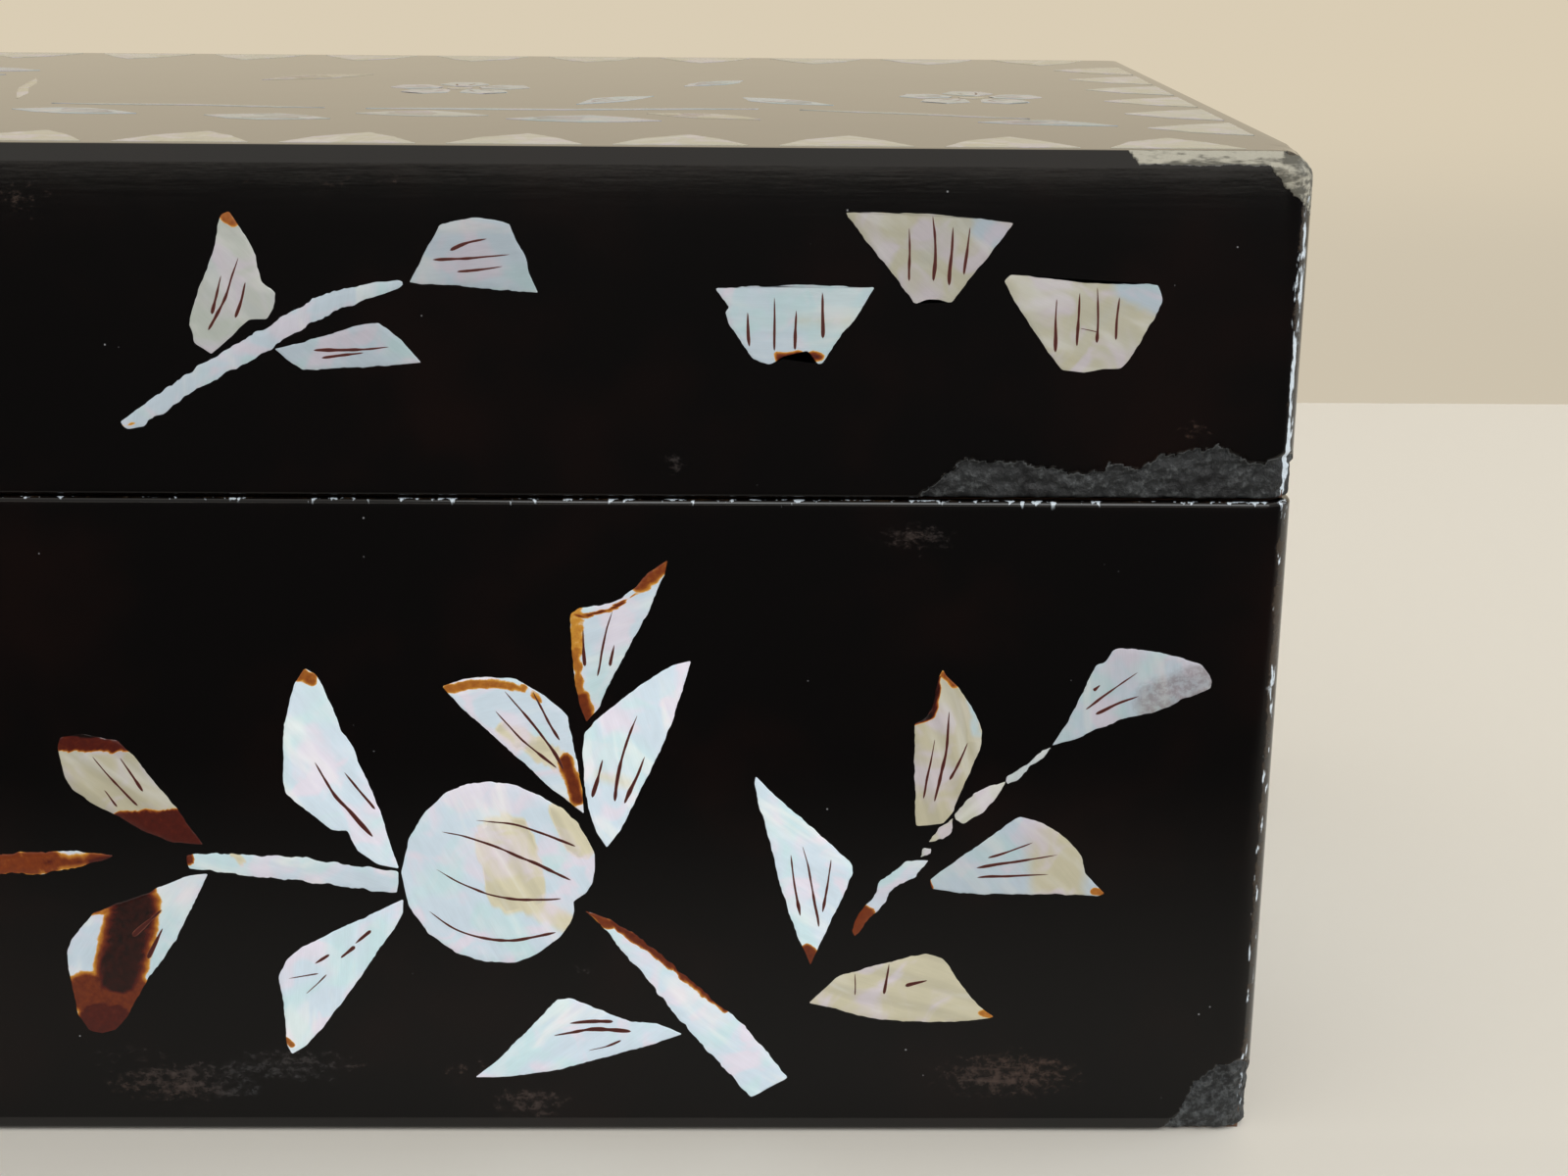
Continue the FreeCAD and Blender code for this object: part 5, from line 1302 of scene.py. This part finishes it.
@once
def shell_finish(colours):
    """Mother of pearl: blue white to cream, soft bands, painted sheen, pink and green glow, resin
    stains.
    """
    finish = Finish("pearl_shell")
    drawing = finish.drawing()
    tone, stain, light, dull = (finish.number(name) for name in ("tone", "stain", "light", "dull"))
    broad = finish.noise(drawing, 0.16, 2.0, 0.5, 0.6)
    other = finish.noise(finish.slid(drawing, (40.0, 11.0, 0.0)), 0.24, 2.0, 0.5, 0.8)
    apart = finish.slid(drawing, (7.0, 90.0, 0.0))
    # Painted sheen: broad stretched bands that whiten and brighten the shell in place of its satin
    # highlights.
    painted_sheen = finish.noise(finish.stretched(apart, (0.22, 0.07, 1.0)), 1.0, 2.0, 0.5, 1.5)
    silk = finish.noise(finish.stretched(drawing, (1.6, 0.3, 1.0)), 1.0, 3.0, 0.6)
    hair = finish.noise(finish.stretched(drawing, (9.0, 0.35, 1.0)), 1.0, 2.0, 0.5)
    folds = finish.bands(drawing, 0.11, 5.0, 2.0, 0.5)

    warm = (tone + (broad - 0.5) * 0.4).between(0.3, 0.85)
    pearl = finish.mix(warm, colours.pearl_blue, colours.pearl_cream)
    pearl = finish.mix(other.between(0.46, 0.64) * 0.75, pearl, colours.pearl_pink)
    pearl = finish.mix(broad.between(0.48, 0.64) * (1.0 - warm) * 0.6, pearl, colours.pearl_green)
    pearl = finish.mix(painted_sheen.between(0.5, 0.7) * 0.45, pearl, colours.pearl_painted_sheen)
    rough = finish.noise(drawing, 1.3, 4.0, 0.7)
    greyed = dull * (0.55 + 0.45 * rough.between(0.4, 0.6))
    pearl = finish.mix(greyed, pearl, colours.pearl_dull)
    # Brightness of the shell; its last term is the painted sheen.
    shade = 0.74 + 0.14 * silk + 0.1 * hair + 0.16 * other + 0.18 * painted_sheen
    creased = 1.0 - 0.12 * folds.between(0.3, 1.0) * tone.between(0.9, 0.94)
    pearl = finish.scaled(pearl, shade * light * creased)

    fine = finish.noise(drawing, 1.6, 3.0, 0.6)
    depth = stain + ((fine - 0.5) * 0.2 + (silk - 0.5) * 0.06) * stain.between(0.02, 0.2)
    resin = finish.ramp(depth, (
        (0.3, colours.amber_light), (0.44, colours.amber), (0.58, colours.resin_brown),
        (0.74, colours.resin_red), (0.94, colours.resin_dark)))
    base = finish.mix(depth.between(0.27, 0.38), pearl, resin)
    roughness = 0.16 + 0.1 * silk + 0.25 * dull
    normal = finish.bump(silk * 0.3 + broad * 2.0 + dull * rough * 1.5, 0.2, 0.0003)
    return finish.surface(Base_Color=base, Roughness=roughness, Normal=normal, IOR=1.6)


@once
def cut_finish(colours):
    """Resin in the cut lines: dark red brown with an amber fringe at the thin sides."""
    finish = Finish("resin_in_cut_lines")
    heart = finish.number("heart")
    grain = finish.noise(finish.place(), 2400.0, 2.0)
    deep = (heart + (grain - 0.5) * 0.5).between(0.02, 0.4)
    base = finish.mix(deep, colours.cut_fringe, colours.cut_line)
    return finish.surface(Base_Color=base, Roughness=0.25 + 0.15 * grain, IOR=1.5)


@once
def wood_finish(colours, along):
    """Stained board: growth rings stretched along the grain, pores and a worn film of lacquer."""
    finish = Finish("carcass_wood_" + along)
    stretch = {"x": (0.09, 1.0, 1.0), "y": (1.0, 0.09, 1.0)}[along]
    place = finish.stretched(finish.place(), stretch)
    rings = finish.bands(finish.stretched(place, (1.0, 1.0, 1.4)), 55.0, 9.0, 3.0, 1.5)
    pores = finish.noise(place, 1500.0, 3.0, 0.7)
    cloud = finish.noise(finish.place(), 30.0, 3.0)
    base = finish.mix(rings * 0.8, colours.wood_dark, colours.wood_light)
    base = finish.mix(pores.between(0.5, 0.66) * 0.6, base, colours.wood_pore)
    base = finish.mix(cloud.between(0.5, 0.7) * 0.35, base, colours.wood_dark)
    normal = finish.bump(pores * 0.7 + rings * 0.3, 0.3, 0.0003)
    return finish.surface(Base_Color=base, Roughness=0.45 + 0.2 * pores, Normal=normal, IOR=1.48)


@once
def brass_finish(colours):
    """Old brass: brown tarnish in patches, fine rubbing along the knuckles."""
    finish = Finish("old_brass")
    place = finish.place()
    patch = finish.noise(place, 260.0, 4.0, 0.6)
    rub = finish.noise(finish.stretched(place, (3000.0, 500.0, 500.0)), 1.0, 2.0)
    tarnish = (patch + 0.3 * rub).between(0.5, 0.78)
    base = finish.mix(tarnish, colours.brass, colours.tarnish)
    normal = finish.bump(patch + rub * 0.3, 0.2, 0.0001)
    return finish.surface(Base_Color=base, Roughness=0.26 + 0.3 * tarnish,
                          Metallic=1.0 - 0.5 * tarnish, Normal=normal)


@once
def floor_finish(colours):
    """Plain floor with a very faint unevenness."""
    finish = Finish("plain_floor")
    cloud = finish.noise(finish.place(), 4.0, 2.0)
    base = finish.mix(cloud * 0.12, colours.floor, tuple(0.9 * part for part in colours.floor))
    return finish.surface(Base_Color=base, Roughness=0.6 + 0.1 * cloud)


@once
def backdrop_finish(colours):
    """Plain wall, warmer and darker low down, that camera and gloss see in its own colour."""
    finish = Finish("plain_backdrop")
    place = finish.place()
    behind = finish.part(place, "Y")
    cloud = finish.noise(place, 3.0, 2.0)
    high = (behind + (cloud - 0.5) * 0.2).between(0.35, 1.1)
    seen = finish.mix(high, colours.backdrop_low, colours.backdrop)
    glow = finish.node("ShaderNodeEmission", None, {"Color": seen, "Strength": 1.0})
    rays = finish.node("ShaderNodeLightPath", result="Is Camera Ray") + \
        finish.node("ShaderNodeLightPath", result="Is Glossy Ray")
    paint = finish.shader(Base_Color=seen, Roughness=0.6 + 0.1 * cloud)
    return finish.output(finish.node("ShaderNodeMixShader", None, {0: rays, 1: paint, 2: glow}))


@once
def shade_card_finish(colours, far, near):
    """The dark of the room before the box, which its front mirrors, thinner near the box."""
    finish = Finish("dark_card")
    place = finish.place()
    cloud = finish.noise(place, 6.0, 2.0)
    behind = finish.part(place, "Y")
    base = finish.mix(cloud, colours.card, colours.card_light)
    alpha = 1.0 - 0.4 * behind.between(far, near)
    return finish.surface(Base_Color=base, Roughness=0.9, Alpha=alpha)


# ---------------------------------------------------------------- hinges and boards

def finish_boards(context):
    """Wood grain along each board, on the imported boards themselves."""
    for name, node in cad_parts.items():
        if name.endswith(("_wall", "_rail", "_board")):
            along = "y" if "_left_" in name or "_right_" in name else "x"
            for place in node.material_slots:
                place.material = wood_finish(context, along)


# Radius of a screw's head, its distance from the middle of its leaf and from the leaf's edge, and
# how far it sinks into the leaf's own plane.
SCREW_RADIUS, SCREW_STEP, SCREW_INSET, SCREW_SUNK = 1.4, 8, 2.1, 0.04


def screw_head(sheets, middle, face_up, turn):
    """A countersunk head with one slot.

    Height(r, a) is a low dome that falls with the fourth power of r, less a slot's depth where
    the distance across the slot's direction is under its half width; a rim goes down below it.
    """
    reach = np.concatenate((np.linspace(0.02, 1, 22), [1.0]))[:, None] * SCREW_RADIUS
    angle = np.linspace(0, 2 * np.pi, 64, endpoint=False)
    across = reach * np.cos(angle - turn)
    height = 0.1 - 0.05 * (reach / SCREW_RADIUS) ** 4 + 0 * across
    slot = np.clip((0.2 - np.abs(across)) / 0.06, 0, 1)
    height = height - 0.09 * slot
    height[-1] = -0.3
    grid = np.stack((reach * np.cos(angle), reach * np.sin(angle), height), axis=2)
    if not face_up:
        grid = grid * (1, -1, -1)
    sheets.add((grid + middle) * MM, capped=True)


def make_hinge_metal(context):
    """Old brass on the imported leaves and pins, and two slotted screw heads in each leaf."""
    brass = brass_finish(context)
    for name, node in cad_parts.items():
        if name.startswith("hinge_"):
            for place in node.material_slots:
                place.material = brass
    rng = np.random.default_rng(77)
    for body, plane in (("base", BASE_RIM - SCREW_SUNK), ("lid", LID_RIM + SCREW_SUNK)):
        screws = Sheets()
        for side in ("left", "right"):
            low, high = np.array(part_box("hinge_" + body + "_leaf_" + side)) / MM
            middle, across = (low[0] + high[0]) / 2, low[1] + SCREW_INSET
            for step in (-SCREW_STEP, SCREW_STEP):
                spot = (middle + step, across, plane)
                screw_head(screws, spot, body == "base", rng.uniform(0, 3.1))
        screws.piece(body + "_hinge_screws", body, "brass", brass)


# ---------------------------------------------------------------- stage

def flat_sheet(name, spots, material):
    """A flat or bent sheet through a grid of places given in metres."""
    spots = np.array(spots, float)
    rows, columns = spots.shape[:2]
    index = np.arange(rows * columns).reshape(rows, columns)
    faces = np.stack((index[:-1, :-1], index[:-1, 1:], index[1:, 1:], index[1:, :-1]), axis=-1)
    mesh = bpy.data.meshes.new(name)
    mesh.from_pydata(spots.reshape(-1, 3).tolist(), [], faces.reshape(-1, 4).tolist())
    mesh.shade_smooth()
    mesh.materials.append(material)
    made = linked(name, mesh)
    return made


def stand(made, place, right, above, ahead):
    """Puts a lamp or a camera at a place, turned to look ahead."""
    axes = np.stack((right, above, -ahead), axis=1)
    made.matrix_world = Matrix.Translation(place) @ Matrix(axes.tolist()).to_4x4()


def lamp(name, place, aim, power, size, colour):
    """A flat lamp at a place, facing what it is aimed at."""
    light = bpy.data.lights.new(name, "AREA")
    light.shape, light.size, light.size_y = "RECTANGLE", size[0], size[1]
    light.energy, light.color = power, colour
    way = unit(np.array(aim, float) - np.array(place, float))
    side = unit(np.cross(way, (0, 0, 1)))
    stand(linked(name, light), place, side, np.cross(side, way), way)


def make_room(context, stage):
    """The floor, a backdrop that bends up behind it, and the dark card before the box."""

    def lengthwise(line):
        return [[(x, y, z) for x in np.linspace(-2.5, 2.5, 11)] for y, z in line]

    edge = stage.floor_edge
    floor = [(y, 0.0) for y in np.linspace(-2.5, edge, 9)]
    flat_sheet("floor", lengthwise(floor), floor_finish(context))
    bend = [(edge + 0.6 + 0.5 * math.sin(angle), 0.5 - 0.5 * math.cos(angle))
            for angle in np.linspace(0, math.pi / 2, 12)]
    back = [(edge, -0.0005), *bend, (edge + 1.1, 1.2), (edge + 1.1, 2.4)]
    flat_sheet("backdrop", lengthwise(back), backdrop_finish(context))
    card = [[(x, y, 0.001) for x in (-1.6, 1.6)] for y in (-0.9, stage.card_edge)]
    made = flat_sheet("dark_card", card, shade_card_finish(context, -0.17, stage.card_edge))
    made.visible_camera = made.visible_diffuse = made.visible_shadow = False
    made.visible_transmission = False


def make_camera(stage):
    """The camera: turned right from straight ahead, tilted down and rolled about its view."""
    view = bpy.data.cameras.new("camera")
    view.lens, view.sensor_width, view.sensor_fit = stage.lens, 36.0, "HORIZONTAL"
    view.clip_start = 0.01
    tilt, turn, roll = (math.radians(angle) for angle in stage.camera_angles)
    ahead = np.array((math.sin(turn) * math.cos(tilt), math.cos(turn) * math.cos(tilt),
                      -math.sin(tilt)))
    right = np.array((math.cos(turn), -math.sin(turn), 0.0))
    above = np.cross(right, ahead)
    across_view = math.cos(roll) * right + math.sin(roll) * above
    up_view = math.cos(roll) * above - math.sin(roll) * right
    made = linked("camera", view)
    stand(made, stage.camera_place, across_view, up_view, ahead)
    return made


def make_stage(context):
    """Floor, backdrop, dark card, lamps, world and the camera."""
    stage = context.scene.inlay_box_stage
    make_room(context, stage)
    lamp("window_front", (0.5, -1.9, 1.5), (0, 0, 0.05), stage.window_power, (1.5, 1.4),
         (0.97, 0.99, 1.0))
    lamp("window_right", (1.7, 0.1, 0.7), (0.1, 0, 0.05), stage.side_power, (1.0, 1.0),
         (0.86, 0.93, 1.0))
    lamp("ceiling", (0.1, -0.1, 2.0), (0.1, 0, 0), stage.ceiling_power, (3.6, 3.6),
         (1.0, 0.94, 0.82))
    world = bpy.data.worlds.new("room")
    context.scene.world = world
    world.use_nodes = True
    light = next(node for node in world.node_tree.nodes if node.type == "BACKGROUND")
    light.inputs["Color"].default_value = (*stage.room_colour, 1)
    light.inputs["Strength"].default_value = stage.room_strength
    context.scene.camera = make_camera(stage)
    context.scene.view_settings.view_transform = "Standard"


# ---------------------------------------------------------------- values that a user may change

def length(name, description, default):
    return bpy.props.FloatProperty(name=name, description=description, default=default,
                                   min=0.0, max=50.0, precision=3)


def amount(name, description, default):
    return bpy.props.FloatProperty(name=name, description=description, default=default)


def vector(name, description, default, subtype):
    return bpy.props.FloatVectorProperty(name=name, description=description, default=default,
                                         size=3, subtype=subtype)


def tint(name, description, default):
    return bpy.props.FloatVectorProperty(name=name, description=description, default=default,
                                         size=3, subtype="COLOR", min=0.0, max=2.0)


class InlayBoxSizes(bpy.types.PropertyGroup):
    """Sizes of the coats and shell pieces, in millimetres."""

    coat_thickness: length("Coat thickness", "Lacquer coat from its face to the board, mm", 1.2)
    coat_below_box: length("Coat below face", "Polished face below the box's outermost plane, mm",
                           0.06)
    corner_radius: length("Corner radius", "Rounding of the upright corners, mm", 3.0)
    top_bevel: length("Top bevel", "Bevel round the lid's top, mm", 1.5)
    arris: length("Arris", "Rounding at rim and foot, mm", 0.4)
    worn_corner: length("Worn corner", "Rounding of the lid's front right corner, mm", 2.7)
    cut_half_width: length("Cut line half width", "Half width at a cut line's thick end, mm", 0.165)
    shell_below_box: length("Shell below face", "Shell faces below the box's outermost plane, mm",
                            0.012)
    shell_edge_bevel: length("Shell edge bevel", "Height of the bevel at a shell piece's edge, mm",
                             0.045)


class InlayBoxColours(bpy.types.PropertyGroup):
    """Colours of the finishes."""

    lacquer: tint("Lacquer", "Polished ground", (0.0018, 0.0013, 0.0013))
    lacquer_brown: tint("Lacquer brown", "Where the lacquer has browned", (0.0052, 0.0022, 0.0018))
    scuff_brown: tint("Brown scuffs", "Rubbed patches near the foot", (0.075, 0.046, 0.036))
    scuff_grey: tint("Grey scuffs", "Rubbed patches higher up", (0.045, 0.045, 0.048))
    edge_wear: tint("Worn edges", "Bare ground along the arrises", (0.10, 0.058, 0.026))
    chip: tint("Chips", "Ground coat where the lacquer is broken away", (0.013, 0.0145, 0.016))
    chip_light: tint("Chips, light", "Light grains and edges of the chips", (0.085, 0.093, 0.098))
    chip_dark: tint("Chips, dark", "Dark hollows in the chips", (0.005, 0.005, 0.006))
    bare: tint("Bare ground", "Worn stretch of the lid's bevel", (0.42, 0.40, 0.33))
    bare_dark: tint("Bare ground, dark", "Soiled grain of the bare ground", (0.10, 0.095, 0.075))
    # Painted highlight: the window's reflection on the corners and the base's rim.
    glint: tint("Painted glints", "Painted highlights along the corners and rim", (0.60, 0.68, 0.76))
    dust: tint("Dust", "Motes of dust", (0.35, 0.36, 0.38))
    pearl_blue: tint("Pearl, blue white", "Cool shell ground", (0.70, 0.83, 0.96))
    pearl_cream: tint("Pearl, cream", "Warm shell ground", (0.78, 0.73, 0.54))
    pearl_pink: tint("Pearl, pink", "Pink glow", (0.86, 0.78, 0.91))
    pearl_green: tint("Pearl, green", "Green blue glow", (0.62, 0.88, 0.91))
    # Painted sheen: the white of the shell's satin highlights.
    pearl_painted_sheen: tint("Pearl, painted sheen", "Painted sheen bands", (0.95, 0.96, 0.94))
    pearl_dull: tint("Pearl, dull", "Pitted, greyed shell", (0.34, 0.29, 0.32))
    amber_light: tint("Light amber", "Thin resin over shell", (0.80, 0.44, 0.05))
    amber: tint("Amber", "Resin over shell", (0.45, 0.16, 0.018))
    resin_brown: tint("Brown resin", "Resin that has darkened", (0.20, 0.036, 0.005))
    resin_red: tint("Red resin", "Thick resin", (0.075, 0.0075, 0.0035))
    resin_dark: tint("Dark resin", "Thickest resin", (0.007, 0.002, 0.0015))
    cut_line: tint("Cut lines", "Resin in the cut lines", (0.07, 0.011, 0.008))
    cut_fringe: tint("Cut line fringe", "Thin resin beside the cut lines", (0.25, 0.08, 0.05))
    wood_light: tint("Wood, light", "Early growth", (0.20, 0.105, 0.055))
    wood_dark: tint("Wood, dark", "Late growth", (0.10, 0.045, 0.024))
    wood_pore: tint("Wood pores", "Pores in the grain", (0.04, 0.018, 0.011))
    brass: tint("Brass", "Rubbed brass", (0.55, 0.40, 0.17))
    tarnish: tint("Tarnish", "Brown film on the brass", (0.11, 0.07, 0.035))
    floor: tint("Floor", "Plain floor", (0.80, 0.765, 0.70))
    backdrop: tint("Backdrop", "Plain wall", (0.70, 0.61, 0.46))
    backdrop_low: tint("Backdrop, low", "Plain wall near the floor", (0.61, 0.54, 0.42))
    card: tint("Dark card", "The room's dark that the front mirrors", (0.01, 0.01, 0.01))
    card_light: tint("Dark card, light", "Its lighter clouds", (0.02, 0.018, 0.016))


class InlayBoxStage(bpy.types.PropertyGroup):
    """Camera, lamps and floor; lengths in metres, angles in degrees."""

    camera_place: vector("Camera place", "Where the camera stands, m",
                         (0.08303, -0.27624, 0.12284), "TRANSLATION")
    camera_angles: vector("Camera angles", "Tilt down, turn right and roll, degrees",
                          (16.593, 0.873, 0.496), "NONE")
    lens: amount("Lens", "Focal length on a 36 mm sensor, mm", 54.09)
    floor_edge: amount("Floor edge", "Where the floor ends behind the box, m", 0.30)
    card_edge: amount("Card edge", "Edge of the dark card nearest the box, m", -0.061)
    window_power: amount("Front window", "Lamp power, W", 26.0)
    side_power: amount("Right window", "Lamp power, W", 9.0)
    ceiling_power: amount("Ceiling", "Lamp power, W", 15.0)
    room_colour: tint("Room colour", "Light from all round", (1.0, 0.97, 0.92))
    room_strength: amount("Room strength", "Strength of the light from all round", 0.45)


# ---------------------------------------------------------------- operators and panel

class INLAYBOX_OT_boards(bpy.types.Operator):
    """Gives the boards of the box their wood grain."""

    bl_idname = "inlaybox.boards"
    bl_label = "Wooden boards"

    def execute(self, context):
        finish_boards(context)
        return {"FINISHED"}


class INLAYBOX_OT_base_coat(bpy.types.Operator):
    """Makes the lacquer coat of the base, with its chipped foot and worn edges."""

    bl_idname = "inlaybox.base_coat"
    bl_label = "Base lacquer"

    def execute(self, context):
        make_base_coat(context)
        return {"FINISHED"}


class INLAYBOX_OT_lid_coat(bpy.types.Operator):
    """Makes the lacquer coat of the lid, with its chipped edge and rounded corner."""

    bl_idname = "inlaybox.lid_coat"
    bl_label = "Lid lacquer"

    def execute(self, context):
        make_lid_coat(context)
        return {"FINISHED"}


class INLAYBOX_OT_base_shell(bpy.types.Operator):
    """Makes the shell pieces of the base and the lines cut into them."""

    bl_idname = "inlaybox.base_shell"
    bl_label = "Base shell pieces"

    def execute(self, context):
        shell_group(context, "base")
        return {"FINISHED"}


class INLAYBOX_OT_lid_shell(bpy.types.Operator):
    """Makes the shell pieces of the lid and the lines cut into them."""

    bl_idname = "inlaybox.lid_shell"
    bl_label = "Lid shell pieces"

    def execute(self, context):
        shell_group(context, "lid")
        return {"FINISHED"}


class INLAYBOX_OT_hinges(bpy.types.Operator):
    """Gives the hinges their old brass and their screws."""

    bl_idname = "inlaybox.hinges"
    bl_label = "Hinges and screws"

    def execute(self, context):
        make_hinge_metal(context)
        return {"FINISHED"}


class INLAYBOX_OT_stage(bpy.types.Operator):
    """Sets up the floor, the backdrop, the lamps and the camera."""

    bl_idname = "inlaybox.stage"
    bl_label = "Stage and camera"

    def execute(self, context):
        make_stage(context)
        return {"FINISHED"}


STEPS = (INLAYBOX_OT_stage, INLAYBOX_OT_boards, INLAYBOX_OT_base_coat, INLAYBOX_OT_lid_coat,
         INLAYBOX_OT_base_shell, INLAYBOX_OT_lid_shell, INLAYBOX_OT_hinges)


class INLAYBOX_PT_steps(bpy.types.Panel):
    """Lists the steps that dress the box."""

    bl_idname = "INLAYBOX_PT_steps"
    bl_label = "Shell Inlay Box"
    bl_space_type = "VIEW_3D"
    bl_region_type = "UI"
    bl_category = "Inlay Box"

    def draw(self, context):
        for step in STEPS:
            self.layout.operator(step.bl_idname)
        for group in (context.scene.inlay_box_sizes, context.scene.inlay_box_colours,
                      context.scene.inlay_box_stage):
            box = self.layout.box()
            for name in group.bl_rna.properties.keys():
                if name not in ("rna_type", "name"):
                    box.prop(group, name)


CLASSES = (InlayBoxSizes, InlayBoxColours, InlayBoxStage, *STEPS, INLAYBOX_PT_steps)


def register():
    for kind in CLASSES:
        bpy.utils.register_class(kind)
    bpy.types.Scene.inlay_box_sizes = bpy.props.PointerProperty(type=InlayBoxSizes)
    bpy.types.Scene.inlay_box_colours = bpy.props.PointerProperty(type=InlayBoxColours)
    bpy.types.Scene.inlay_box_stage = bpy.props.PointerProperty(type=InlayBoxStage)


def unregister():
    del bpy.types.Scene.inlay_box_stage
    del bpy.types.Scene.inlay_box_colours
    del bpy.types.Scene.inlay_box_sizes
    for kind in reversed(CLASSES):
        bpy.utils.unregister_class(kind)


def main():
    """Dresses the box step by step."""
    register()
    bpy.ops.inlaybox.stage()
    bpy.ops.inlaybox.boards()
    bpy.ops.inlaybox.base_coat()
    bpy.ops.inlaybox.lid_coat()
    bpy.ops.inlaybox.base_shell()
    bpy.ops.inlaybox.lid_shell()
    bpy.ops.inlaybox.hinges()


if __name__ == "__main__":
    main()
